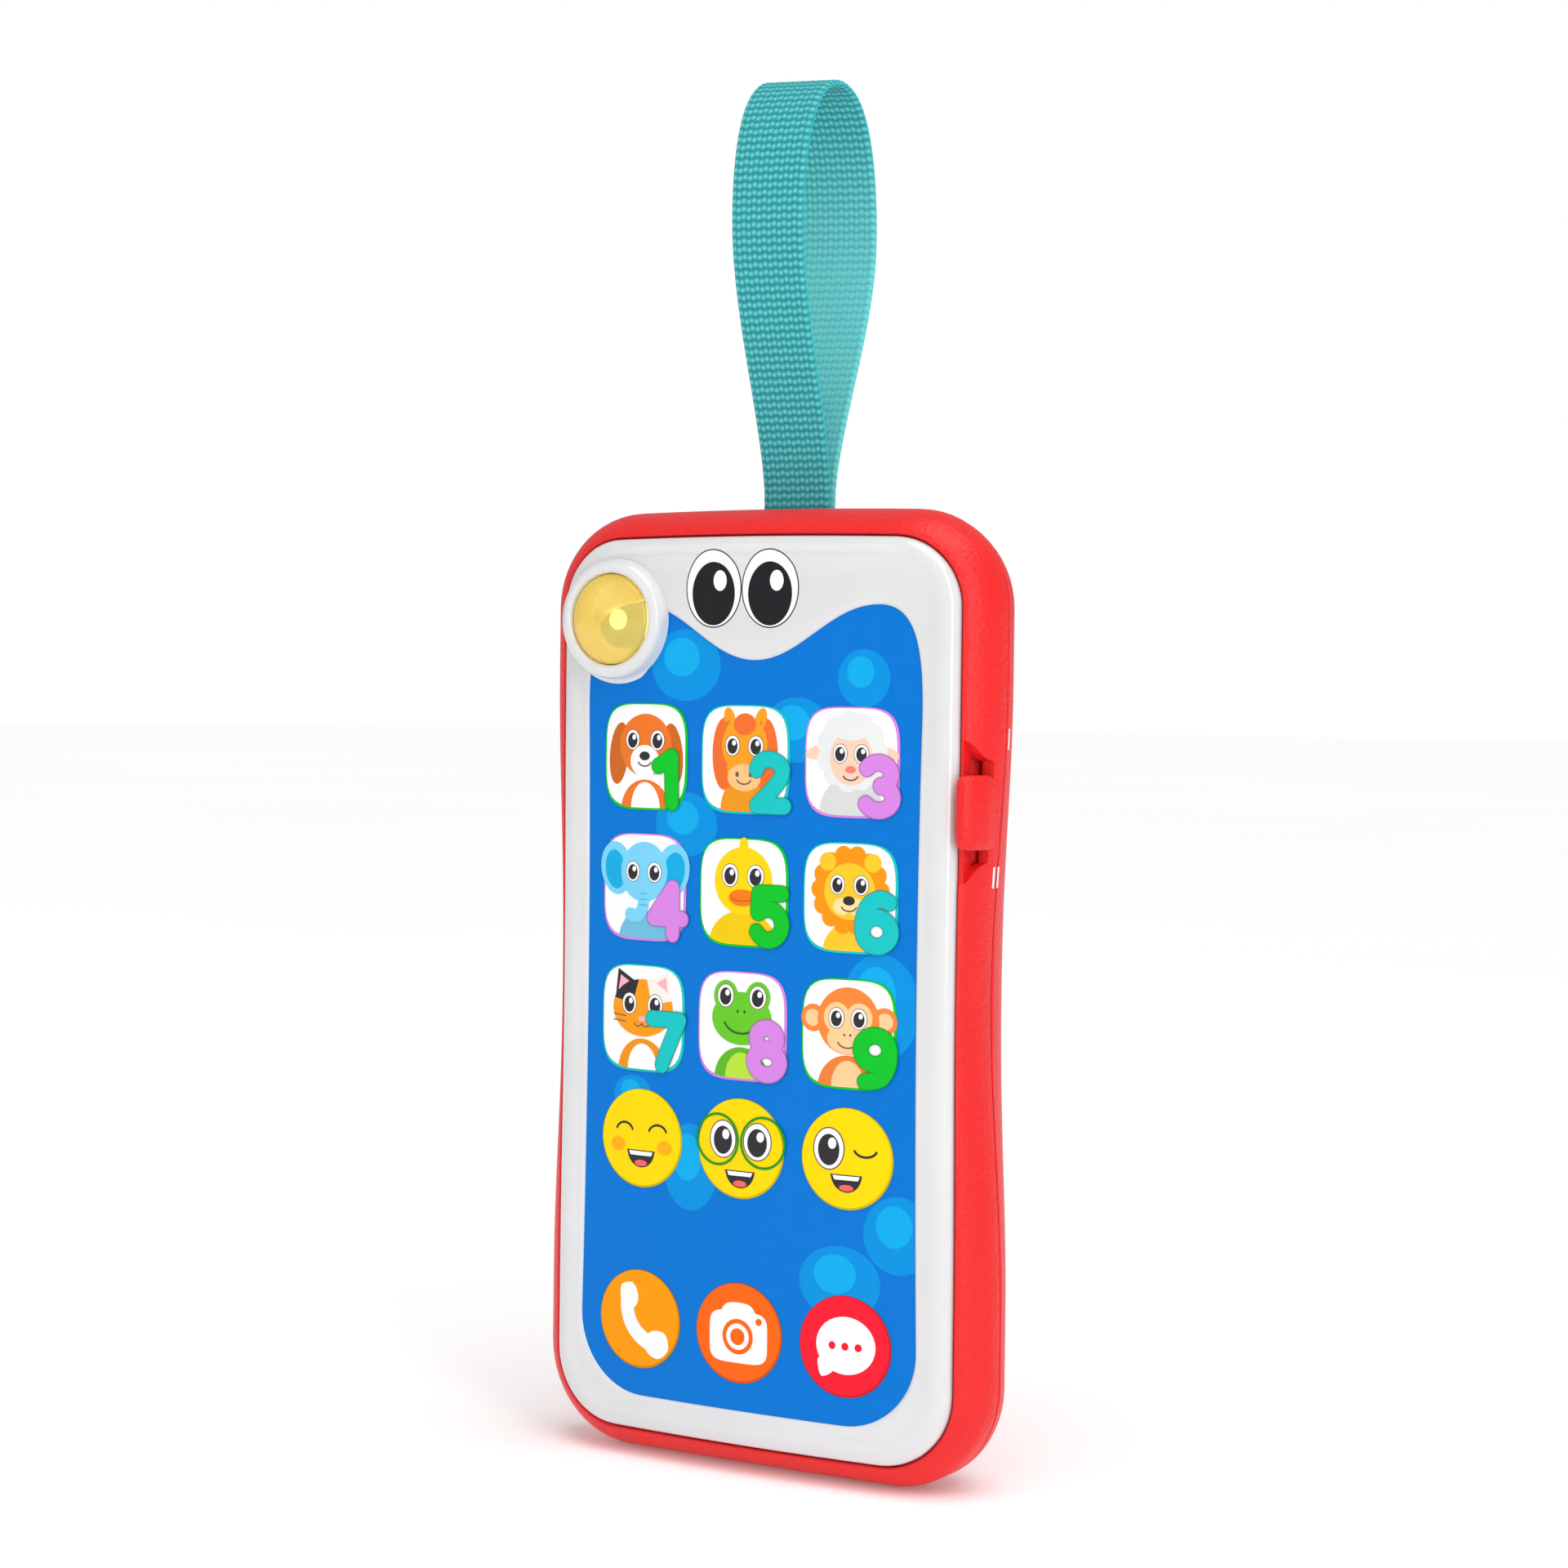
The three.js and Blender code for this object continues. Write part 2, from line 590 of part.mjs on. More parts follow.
// ---------------------------------------------------------------- slide switch
function makeSlideKnob() {
  const section = new THREE.Shape([
    [35.7, -6.5], [35.7, -8.2], [36.3, -8.9], [37.4, -8.5], [38.8, -7.1], [39.5, -5.1],
    [39.8, -3.3], [39.7, -2.6], [38.2, -2.6], [37.6, -4.4], [36.6, -6.5],
  ].reverse().map(([x, y]) => new THREE.Vector2(x, y)));
  const cap = plateZ(section, SWITCH_Z - KNOB_HALF_HEIGHT, SWITCH_Z + KNOB_HALF_HEIGHT);
  const arm = box(30.5, 39, -3.9, -2.7, SWITCH_Z - 2.2, SWITCH_Z + 2.2);
  const fork = box(30.5, 32.8, -3.9, 0.6, SWITCH_Z - 2.2, SWITCH_Z + 2.2);
  place('slide_knob', join(cap, arm, fork), RED);
}

// The curved floor behind the recess. The knob's arm passes through its slot.
function makeSwitchGuide() {
  const centreX = BODY_HALF_WIDTH - waist(SWITCH_Z, 0) - SIDE_RADIUS;
  const shape = new THREE.Shape();
  const from = THREE.MathUtils.degToRad(-48);
  const to = THREE.MathUtils.degToRad(-8);
  const radius = SIDE_RADIUS - WALL - 2 * GAP;
  shape.absarc(centreX, 0, radius, from, to, false);
  shape.absarc(centreX, 0, radius - 0.9, to, from, true);
  const floor = plateZ(shape, SWITCH_Z - 13, SWITCH_Z + 13, 6);
  place('switch_guide', cut(floor, knobArmWay()), RED);
}

function makeSlideSwitch() {
  const back = 1.6;
  place('slide_switch', box(21, 26.7, BOARD.back + GAP, back, SWITCH_Z - 5.5, SWITCH_Z + 5.5), STEEL);
  place('switch_actuator', box(27, 30.2, -0.9, 0.5, SWITCH_Z - 1.2, SWITCH_Z + 1.2), BLACK);
}

// ---------------------------------------------------------------- board and its parts
function makeBoard() {
  const outline = roundedRectangle(BOARD.halfWidth, BOARD.bottom, BOARD.top, 3);
  const holes = BOARD_SCREWS.map(([x, z]) => barY(x, z, 1.3, -6, 0, 6));
  place('main_board', cut(plateY(outline, BOARD.front, BOARD.back, 2), ...holes), BOARD_GREEN);
  const rear = BOARD.back + GAP;
  place('sound_chip', box(-6, 6, rear, rear + 1.4, 97.5, 104.5), BLACK);
  place('capacitor', barY(17.5, 110, 2.5, rear, rear + 6, 16), BLACK);
  BOARD_SCREWS.forEach(([x, z], i) => {
    const head = barY(x, z, 2, rear, rear + 1.3, 10);
    const shank = barY(x, z, 0.9, -5.3, rear + 0.2, 6);
    place(`board_screw_${i + 1}`, join(head, shank), STEEL);
  });
}

function makeSpeaker() {
  const { z, radius, rimFront, back, magnetRadius, magnetFront } = SPEAKER;
  place('speaker', turnedY(0, z, [
    [0, magnetFront],
    [magnetRadius, magnetFront],
    [magnetRadius, rimFront - 1.6],
    [radius, rimFront],
    [radius, back],
    [radius - 1.4, back],
    [radius - 3.2, back - 1.2],
    [4.5, back - 2.2],
    [2.8, back - 1.4],
    [0, back - 1],
  ], 18), BLACK);
  place('speaker_gasket', turnedY(0, z, [
    [radius - 2, back + GAP],
    [radius, back + GAP],
    [radius, BACK_Y - WALL - GAP],
    [radius - 2, BACK_Y - WALL - GAP],
    [radius - 2, back + GAP],
  ], 18), FOAM);
}

// ---------------------------------------------------------------- batteries
function makeTray() {
  const block = box(-TRAY.halfWidth, TRAY.halfWidth, TRAY.front, TRAY.back, TRAY.bottom, TRAY.top);
  const well = TRAY_WELL;
  const cavity = box(-well.halfWidth, well.halfWidth, well.front, TRAY.back + 1, well.bottom, well.top);
  const screwHole = barY(0, DOOR_SCREW_Z, 1.5, 2.5, TRAY.back + 1, 8);
  place('battery_tray', cut(block, cavity, screwHole), BLACK);
}

// A cell along Z with its nub at the top, or at the bottom when turned over.
function makeCell(name, x, nubUp) {
  const { radius, length, nubRadius, nubHeight } = CELL;
  const shoulder = length - nubHeight;
  const profile = [
    [0, 0],
    [radius - 0.5, 0],
    [radius, 0.5],
    [radius, shoulder - 0.5],
    [radius - 0.5, shoulder],
    [nubRadius, shoulder],
    [nubRadius, length],
    [0, length],
  ];
  const geometry = new THREE.LatheGeometry(profile.map(([r, h]) => new THREE.Vector2(r, h)), 16);
  geometry.rotateX(nubUp ? Math.PI / 2 : -Math.PI / 2);
  const nubGap = 1.1;
  const z = nubUp ? TRAY_WELL.top - nubGap - length : TRAY_WELL.bottom + nubGap + length;
  geometry.translate(x, CELL.y, z);
  place(name, geometry, CELL_JACKET);
}

// A coil contact pressed between a cell's flat end and the wall of the well.
function makeContactSpring(name, x, start, end) {
  const turns = 3.5;
  const wire = 0.4;
  class Helix extends THREE.Curve {
    getPoint(t, target = new THREE.Vector3()) {
      const angle = 2 * Math.PI * turns * t;
      const radius = 3.6 - 1.4 * t;
      const rise = start + (end - start) * t;
      return target.set(x + radius * Math.cos(angle), CELL.y + radius * Math.sin(angle), rise);
    }
  }
  const section = new THREE.Shape().absarc(0, 0, wire, 0, 2 * Math.PI);
  const options = { steps: 28, bevelEnabled: false, extrudePath: new Helix(), curveSegments: 3 };
  place(name, new THREE.ExtrudeGeometry(section, options), STEEL);
}

function makeContactPlate(name, x, z0) {
  place(name, box(x - 3.5, x + 3.5, CELL.y - 3.5, CELL.y + 3.5, z0, z0 + 0.5), STEEL);
}

function makeBatteries() {
  const { bottom, top } = TRAY_WELL;
  const springLength = top - bottom - CELL.length - 1.1;
  const wireClearance = 0.7;
  makeCell('cell_1', -CELL.x, true);
  makeCell('cell_2', CELL.x, false);
  makeContactPlate('cell_1_plus_contact', -CELL.x, top - 0.8);
  makeContactPlate('cell_2_plus_contact', CELL.x, bottom + 0.3);
  makeContactSpring('cell_1_spring', -CELL.x, bottom + wireClearance, bottom + springLength - wireClearance);
  makeContactSpring('cell_2_spring', CELL.x, top - wireClearance, top - springLength + wireClearance);
}

function makeDoor() {
  const outline = roundedRectangle(DOOR.halfWidth, DOOR.bottom, DOOR.top, DOOR.corner);
  const lid = plateY(outline, DOOR.front, BACK_Y, 2);
  const hole = barY(0, DOOR_SCREW_Z, 1.5, 9, 13, 8);
  const headWell = barY(0, DOOR_SCREW_Z, 2.8, 11, 13, 12);
  place('battery_door', cut(lid, hole, headWell), RED);
  const head = barY(0, DOOR_SCREW_Z, 2.4, 11 + GAP, BACK_Y - 0.1, 12);
  const shank = barY(0, DOOR_SCREW_Z, 1.2, 4, 11 + GAP + 0.1, 8);
  place('battery_door_screw', join(head, shank), STEEL);
}

function makeHousingScrews() {
  HOUSING_SCREWS.forEach(([x, z], i) => {
    const head = barY(x, z, 2.4, 4.5 + GAP, 6.4, 12);
    const shank = barY(x, z, 1.2, -4.2, 5, 8);
    place(`housing_screw_${i + 1}`, join(head, shank), STEEL);
  });
}

// ---------------------------------------------------------------- strap
// The middle line of the webbing loop, in Y and Z, from the front limb's root round to the back's.
function strapLine() {
  const half = STRAP_THICKNESS / 2;
  const root = half + 0.12;
  const front = STRAP_FRONT_REACH + half;
  const back = STRAP_BACK_REACH - half;
  const crest = STRAP_TOP_Z - half;
  const path = new THREE.Path();
  path.moveTo(STRAP_Y - root, STRAP_ROOT_Z);
  path.bezierCurveTo(STRAP_Y - 2.4, 165.3, STRAP_Y + front, 179.3, STRAP_Y + front, STRAP_BULGE_Z);
  path.bezierCurveTo(STRAP_Y + front, 205.3, STRAP_Y - 7.5, crest, STRAP_Y + 0.7, crest);
  path.bezierCurveTo(STRAP_Y + 8.5, crest, STRAP_Y + back, 205.3, STRAP_Y + back, STRAP_BULGE_Z);
  path.bezierCurveTo(STRAP_Y + back, 179.3, STRAP_Y + 2.4, 165.3, STRAP_Y + root, STRAP_ROOT_Z);
  return path;
}

// Points beside the middle line, at a signed distance to its outer side.
function besideStrapLine(distance) {
  const path = strapLine();
  const points = path.getPoints(9);
  return points.map((point, i) => {
    const before = points[Math.max(0, i - 1)];
    const after = points[Math.min(points.length - 1, i + 1)];
    const along = after.clone().sub(before).normalize();
    return new THREE.Vector2(point.x - along.y * distance, point.y + along.x * distance);
  });
}

// The two limbs meet in a round root that bends about its own middle, clear of the tail below.
function makeStrap() {
  const half = STRAP_THICKNESS / 2;
  const outside = besideStrapLine(half);
  const inside = besideStrapLine(-half).slice(2, -2);
  const shape = new THREE.Shape(outside.reverse());
  shape.holes.push(new THREE.Path(inside));
  const depth = STRAP_THICKNESS;
  const root = barX(STRAP_Y, STRAP_ROOT_Z, depth + 0.12, -STRAP_HALF_WIDTH, STRAP_HALF_WIDTH, 16);
  place('strap_loop', join(plateX(shape, -STRAP_HALF_WIDTH, STRAP_HALF_WIDTH), root), TEAL);

  const tailTop = STRAP_ROOT_Z - depth - 0.12 - GAP;
  const tail = box(-STRAP_HALF_WIDTH, STRAP_HALF_WIDTH, STRAP_Y - depth, STRAP_Y + depth, STRAP_PIN_Z, tailTop);
  const eye = barX(STRAP_Y, STRAP_PIN_Z, 2.7, -STRAP_HALF_WIDTH, STRAP_HALF_WIDTH, 16);
  const pinWay = barX(STRAP_Y, STRAP_PIN_Z, 1.5, -10, 10, 12);
  place('strap_tail', cut(join(tail, eye), pinWay), TEAL);
  place('strap_pin', barX(STRAP_Y, STRAP_PIN_Z, 1.2, -10, 10, 12), STEEL);
}

// ---------------------------------------------------------------- wires
function makeWire(name, points, material) {
  const curve = new THREE.CatmullRomCurve3(points.map((point) => new THREE.Vector3(...point)));
  const section = new THREE.Shape().absarc(0, 0, 0.6, 0, 2 * Math.PI);
  const options = { steps: 8, bevelEnabled: false, extrudePath: curve, curveSegments: 3 };
  place(name, new THREE.ExtrudeGeometry(section, options), material);
}

function makeWires() {
  makeWire('battery_wire_red', [[-9, 3, 96.6], [-9.6, 2, 98.6], [-10.2, 0.2, 99.8], [-10.4, -1.3, 100]], WIRE_RED);
  makeWire('battery_wire_black', [[9, 3, 96.6], [9.6, 2, 98.6], [10.2, 0.2, 99.8], [10.4, -1.3, 100]], BLACK);
  makeWire('speaker_wire_red', [[-9.6, 3.4, 113], [-12, 3, 110.6], [-13.4, 1, 109], [-13.6, -1.3, 108.6]], WIRE_RED);
  makeWire('speaker_wire_black', [[-7.2, 3.4, 110], [-9, 3, 107.6], [-10.2, 1, 106], [-10.4, -1.3, 105.6]], BLACK);
}

makeFrontCasing();
makeRearCasing();
makeBezel();
makeScreenFilm();
makeTorch();
makeKeys();
makeKeyGuide();
makeSlideKnob();
makeSwitchGuide();
makeSlideSwitch();
makeBoard();
makeSpeaker();
makeTray();
makeBatteries();
makeDoor();
makeHousingScrews();
makeStrap();
makeWires();

export default group;
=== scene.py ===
"""Toy cell phone: grained red casing, glossy white bezel, printed screen film with fifteen push keys,
amber torch lens, slide switch and a woven strap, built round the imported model."""

import math

import bpy
import numpy as np
from mathutils import Euler, Matrix, Vector
from mathutils.geometry import delaunay_2d_cdt


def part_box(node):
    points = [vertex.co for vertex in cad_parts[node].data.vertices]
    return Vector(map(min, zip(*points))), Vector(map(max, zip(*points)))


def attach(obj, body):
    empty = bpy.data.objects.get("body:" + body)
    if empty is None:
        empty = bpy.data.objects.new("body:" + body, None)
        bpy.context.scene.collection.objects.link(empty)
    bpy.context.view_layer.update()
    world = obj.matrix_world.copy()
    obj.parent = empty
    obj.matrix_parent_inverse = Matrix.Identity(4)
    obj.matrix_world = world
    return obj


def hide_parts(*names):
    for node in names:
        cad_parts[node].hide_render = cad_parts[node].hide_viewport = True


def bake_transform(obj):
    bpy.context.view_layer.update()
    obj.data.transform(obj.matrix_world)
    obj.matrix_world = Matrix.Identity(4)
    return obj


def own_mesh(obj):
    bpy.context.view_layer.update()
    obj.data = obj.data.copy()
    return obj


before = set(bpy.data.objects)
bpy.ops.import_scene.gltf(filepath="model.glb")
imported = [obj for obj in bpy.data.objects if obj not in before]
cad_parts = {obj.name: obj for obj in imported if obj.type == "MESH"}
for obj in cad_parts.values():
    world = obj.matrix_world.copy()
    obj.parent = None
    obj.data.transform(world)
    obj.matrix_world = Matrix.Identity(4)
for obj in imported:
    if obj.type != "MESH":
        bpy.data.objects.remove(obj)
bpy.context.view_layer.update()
MM = 0.001


def node_box(node):
    """A CAD node's lowest and highest corners, in millimetres."""
    low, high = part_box(node)
    return Vector(low) / MM, Vector(high) / MM


def node_middle(node):
    low, high = node_box(node)
    return (low + high) / 2


# ---------------------------------------------------------------- sizes, in millimetres
HALF_WIDTH, PARTING_Y, BODY_HEIGHT = node_box("front_casing")[1]
BACK_Y = node_box("rear_casing")[1].y
WAIST_DIP, INNER_WAIST_DIP, WAIST_Z, WAIST_REACH = 2.2, 0.3, 75, 48
TOP_CORNER, BOTTOM_CORNER, TOP_CROWN, FOOT_TRIM = 15, 16, 0.8, 0.5
SIDE_RADIUS, REAR_INSET, WALL = 7.6, 15, 2
FACE_RADIUS, CROWN_REACH, FILM_Y = 324, 35.3, -7.5
BEZEL_INSET, BEZEL_EDGE_Y, BEZEL_FRONT_Y, BEZEL_CREST_Y, BEZEL_BACK_Y = 4.25, -6.6, -7.9, -8.15, -5.9
LEDGE_INSET, LEDGE_Y = 6.6, -5.5
SCREEN_HALF_WIDTH, SCREEN_BOTTOM, SCREEN_CORNER, SHOULDER_Z = 30.2, 9.6, 12, 117.3
LOBE_Z, NOSE_Z, NOSE_X = 133.9, 125.3, 1.4
SWITCH_Z, MOUTH, THROAT, THROAT_Y, RAIL_X = 103, 10.9, 7.6, -2.3, 36.2
SPEAKER_Z, GRILLE_RADIUS, DOOR_CORNER = 119, 9.5, 3
STRAP_Y, STRAP_ROOT_Z, STRAP_CREST_Z, STRAP_BULGE_Z = 6, 151.9, 216.1, 193.8
SLOT_HALF_WIDTH, SLOT_HALF_DEPTH = 6.7, 1.9  # of the strap's slot
KEY_DOME = 0.3  # how far a key's print bulges from the film
INK = 0.016  # one layer of ink
LENS_LOW, LENS_HIGH = node_box("torch_lens")
LENS_X, LENS_Z = node_middle("torch_lens").xz
LENS_RADIUS = (LENS_HIGH.x - LENS_LOW.x) / 2


def add_object(name, data):
    thing = bpy.data.objects.new(name, data)
    bpy.context.scene.collection.objects.link(thing)
    return thing


# ---------------------------------------------------------------- materials
def linear(colour):
    """An 8-bit screen colour as linear light."""
    parts = [c / 255 for c in colour]
    return [c / 12.92 if c <= 0.04045 else ((c + 0.055) / 1.055) ** 2.4 for c in parts] + [1.0]


def shade(colour, factor):
    """A darker or lighter screen colour."""
    return tuple(min(255, c * factor) for c in colour)


class Surface:
    """A Principled material that a few node helpers add detail to."""

    def __init__(self, name, roughness=0.5, metallic=0.0, **sockets):
        self.material = bpy.data.materials.new(name)
        self.material.use_nodes = True
        self.tree = self.material.node_tree
        self.shader = self.tree.nodes["Principled BSDF"]
        self.set(Roughness=roughness, Metallic=metallic, **sockets)
        self.place = self.node("ShaderNodeTexCoord").outputs["Object"]

    def set(self, **sockets):
        for name, value in sockets.items():
            self.shader.inputs[name.replace("_", " ")].default_value = value

    def node(self, kind, **settings):
        node = self.tree.nodes.new(kind)
        for name, value in settings.items():
            if hasattr(node, name):
                setattr(node, name, value)
            else:
                node.inputs[name].default_value = value
        return node

    def link(self, output, target):
        self.tree.links.new(output, target)

    def noise(self, size, detail=3.0):
        """Cloudy noise whose features are about size millimetres wide."""
        node = self.node("ShaderNodeTexNoise", Scale=1 / (size * MM), Detail=detail)
        self.link(self.place, node.inputs["Vector"])
        return node.outputs["Fac"]

    def cells(self, size):
        """Rounded cells about size millimetres wide."""
        node = self.node("ShaderNodeTexVoronoi", Scale=1 / (size * MM))
        node.feature = "SMOOTH_F1"
        self.link(self.place, node.inputs["Vector"])
        return node.outputs["Distance"]

    def ramp(self, factor, low, high, start=0.3, end=0.7):
        """Blends two linear colours as factor goes from start to end."""
        ramp = self.node("ShaderNodeValToRGB")
        for stop, position, colour in zip(ramp.color_ramp.elements, (start, end), (low, high)):
            stop.position = position
            stop.color = colour
        self.link(factor, ramp.inputs["Fac"])
        return ramp.outputs["Color"]

    def colour(self, output):
        self.link(output, self.shader.inputs["Base Color"])

    def mottle(self, colour, size=6.0, spread=0.05):
        """The base colour, a little uneven."""
        low, high = linear(shade(colour, 1 - spread)), linear(shade(colour, 1 + spread))
        self.colour(self.ramp(self.noise(size), low, high))

    def vary_roughness(self, low, high, size=5.0):
        spread = self.node("ShaderNodeMapRange", **{"To Min": low, "To Max": high})
        self.link(self.noise(size), spread.inputs["Value"])
        self.link(spread.outputs["Result"], self.shader.inputs["Roughness"])

    def relief(self, height, depth, after=None):
        """Bumps of depth millimetres. Another relief's output can come before it."""
        bump = self.node("ShaderNodeBump", Strength=1.0, Distance=depth * MM)
        self.link(height, bump.inputs["Height"])
        if after is not None:
            self.link(after, bump.inputs["Normal"])
        self.link(bump.outputs["Normal"], self.shader.inputs["Normal"])
        return bump.outputs["Normal"]


def grained_plastic(name, colour):
    """Moulded plastic from a spark-eroded tool: a fine even grain under a soft sheen."""
    s = Surface(name, Specular_IOR_Level=0.34)
    s.mottle(colour, 9, 0.006)
    s.vary_roughness(0.38, 0.42)
    coarse = s.relief(s.cells(0.7), 0.11)
    s.relief(s.noise(0.3, 2), 0.03, coarse)
    return s.material


def gloss_plastic(name, colour, roughness=0.12):
    s = Surface(name, Specular_IOR_Level=0.5, Coat_Weight=0.4, Coat_Roughness=0.06)
    s.mottle(colour, 14, 0.01)
    s.vary_roughness(roughness, roughness + 0.05, 8)
    s.relief(s.noise(7, 1), 0.015)
    return s.material


def printed_ink(name, colour):
    """Ink under clear film."""
    s = Surface(name, Specular_IOR_Level=0.1)
    s.mottle(colour, 3, 0.008)
    s.vary_roughness(0.3, 0.38, 3)
    return s.material


def rubber(name, colour):
    s = Surface(name, Specular_IOR_Level=0.3)
    s.mottle(colour, 3, 0.04)
    s.vary_roughness(0.65, 0.8)
    s.relief(s.noise(0.25), 0.01)
    return s.material


def metal(name, colour, roughness):
    """Plated metal with fine drawn lines."""
    s = Surface(name, metallic=1.0)
    s.mottle(colour, 1.2, 0.06)
    s.vary_roughness(roughness, roughness + 0.15, 0.8)
    s.relief(s.noise(0.15, 4), 0.004)
    return s.material


def board(name):
    """Green solder mask over faint copper tracks."""
    s = Surface(name, roughness=0.35)
    s.mottle((31, 107, 58), 5, 0.06)
    s.relief(s.cells(2.5), 0.03)
    return s.material


def foam(name, colour):
    s = Surface(name, roughness=0.95)
    s.mottle(colour, 0.6, 0.25)
    s.relief(s.cells(0.5), 0.1)
    return s.material


def clear_amber(name):
    """Clear tinted plastic with the torch's light caught in it."""
    s = Surface(name, roughness=0.1, Transmission_Weight=0.62, IOR=1.45, Emission_Strength=0.1)
    s.mottle((244, 222, 118), 5, 0.03)
    s.relief(s.noise(3, 1), 0.006)
    s.set(Emission_Color=linear((255, 226, 130)))
    return s.material


def glowing_resin(name):
    s = Surface(name, roughness=0.2, Emission_Strength=6.0)
    s.mottle((250, 246, 225), 1, 0.03)
    s.set(Emission_Color=linear((255, 240, 190)))
    return s.material


def webbing(name):
    """Polyester webbing with fibres along each yarn, coloured by painted light: a painted highlight on the
    yarn tops and painted shade in the gaps.
    """
    s = Surface(name, roughness=0.5, Sheen_Weight=0.12, Sheen_Roughness=0.5, Specular_IOR_Level=0.3)
    s.set(Sheen_Tint=linear((150, 245, 250)))
    # Painted light and shade from the mesh: dark teal where the weave is low, near white where it stands
    # high, paler still on the back limb's inner face.
    painted_light_and_shade = s.node("ShaderNodeAttribute", attribute_name="painted_light_and_shade").outputs["Fac"]
    s.colour(s.ramp(painted_light_and_shade, linear((0, 176, 186)), linear((136, 255, 255)), 0.1, 0.95))
    flat = s.node("ShaderNodeUVMap").outputs["UV"]
    fibres = s.node("ShaderNodeTexWave", Scale=9.0, Distortion=2.5, Detail=2.0)
    fibres.bands_direction = "X"
    s.link(flat, fibres.inputs["Vector"])
    s.relief(fibres.outputs["Fac"], 0.03)
    return s.material


RED = grained_plastic("red_grained_plastic", (233, 30, 31))
WHITE = gloss_plastic("white_gloss_plastic", (222, 222, 223))
AMBER = clear_amber("clear_amber_plastic")
WEBBING = webbing("teal_webbing")

inks = {}


def ink(colour):
    """The ink material of a colour, made once."""
    if colour not in inks:
        inks[colour] = printed_ink("ink_%02x%02x%02x" % colour, colour)
    return inks[colour]


# ---------------------------------------------------------------- mesh helpers
def new_mesh(name, points, faces):
    mesh = bpy.data.meshes.new(name)
    mesh.from_pydata([Vector(p) * MM for p in points], [], faces)
    return mesh


def smooth(mesh, sharp=40):
    """Smooth shading, except over edges sharper than an angle in degrees."""
    mesh.shade_smooth()
    mesh.set_sharp_from_angle(angle=math.radians(sharp))


def make_piece(name, points, faces, materials, body, slot, replaces=(), sharp=40):
    """A smooth-shaded piece from points in millimetres, riding on a body of the frame."""
    mesh = new_mesh(name, points, faces)
    mesh.validate()
    piece = add_object(name, mesh)
    for material in materials:
        mesh.materials.append(material)
    smooth(mesh, sharp)
    if body:
        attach(piece, body)
    if replaces:
        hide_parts(*replaces)
    return piece


def loft(rings, looped=False):
    """Quads between rings of equal length, from the front to the back, capped unless looped."""
    count = len(rings[0])
    points = [p for ring in rings for p in ring]
    faces = []
    for band in range(len(rings) if looped else len(rings) - 1):
        here = band * count
        there = ((band + 1) % len(rings)) * count
        for i in range(count):
            j = (i + 1) % count
            faces.append((here + i, there + i, there + j, here + j))
    if not looped:
        faces.append(tuple(range(count)))
        last = (len(rings) - 1) * count
        faces.append(tuple(last + i for i in reversed(range(count))))
    return points, faces


def carve(piece, cutters, sharp=40):
    """Cuts closed forms out of a piece, then removes them."""
    for cutter in cutters:
        cut = piece.modifiers.new("cut", "BOOLEAN")
        cut.object = cutter
        cut.solver = "EXACT"
    graph = bpy.context.evaluated_depsgraph_get()
    mesh = bpy.data.meshes.new_from_object(piece.evaluated_get(graph))
    piece.modifiers.clear()
    piece.data = mesh
    smooth(mesh, sharp)
    for cutter in cutters:
        bpy.data.objects.remove(cutter)


def soften_edges(piece, width):
    bevel = piece.modifiers.new("rounded_edges", "BEVEL")
    bevel.width = width * MM
    bevel.segments = 2
    bevel.limit_method = "ANGLE"
    bevel.angle_limit = math.radians(38)
    bevel.use_clamp_overlap = True
    bevel.harden_normals = True


def cutter(rings):
    return add_object("cutter", new_mesh("cutter", *loft(rings)))


def cutter_y(outline, y0, y1):
    """Cuts an outline of (x, z), anticlockwise seen from the front, along Y."""
    return cutter([[(x, y, z) for x, z in outline] for y in (y0, y1)])


def cutter_x(outline, x0, x1):
    """Cuts an outline of (y, z), anticlockwise seen from +X, along X."""
    return cutter([[(x, y, z) for y, z in outline] for x in (x1, x0)])


def turned(x, z, profile, steps):
    """Rings about an axis along Y through (x, z), from (radius, y) pairs."""
    angles = [2 * math.pi * i / steps for i in range(steps)]
    return [[(x + r * math.cos(a), y, z + r * math.sin(a)) for a in angles] for r, y in profile]


# ---------------------------------------------------------------- plane figures, as lists of (x, z)
def ellipse(x, z, rx, rz=None, turn=0.0, steps=32):
    rz = rx if rz is None else rz
    c, s = math.cos(math.radians(turn)), math.sin(math.radians(turn))
    figure = []
    for i in range(steps):
        a = 2 * math.pi * i / steps
        u, v = rx * math.cos(a), rz * math.sin(a)
        figure.append((x + u * c - v * s, z + u * s + v * c))
    return figure


def arc(x, z, rx, rz, start, end, steps=16):
    turns = [math.radians(start + (end - start) * i / steps) for i in range(steps + 1)]
    return [(x + rx * math.cos(a), z + rz * math.sin(a)) for a in turns]


def bezier(p0, p1, p2, p3, steps):
    """Points along a curve from p0, without its end."""
    p0, p1, p2, p3 = map(Vector, (p0, p1, p2, p3))
    curve = []
    for i in range(steps):
        t = i / steps
        s = 1 - t
        curve.append(tuple(s ** 3 * p0 + 3 * s ** 2 * t * p1 + 3 * s * t * t * p2 + t ** 3 * p3))
    return curve


def rounded(points, closed=True, per=6):
    """A Catmull-Rom curve through points."""
    count = len(points)
    figure = []
    for i in range(count if closed else count - 1):
        p = [Vector(points[(i + k) % count] if closed else points[min(max(i + k, 0), count - 1)])
             for k in (-1, 0, 1, 2)]
        for step in range(per):
            t = step / per
            q = 0.5 * (2 * p[1] + (p[2] - p[0]) * t + (2 * p[0] - 5 * p[1] + 4 * p[2] - p[3]) * t * t
                       + (3 * p[1] - p[0] - 3 * p[2] + p[3]) * t ** 3)
            figure.append(tuple(q))
    if not closed:
        figure.append(tuple(points[-1]))
    return figure


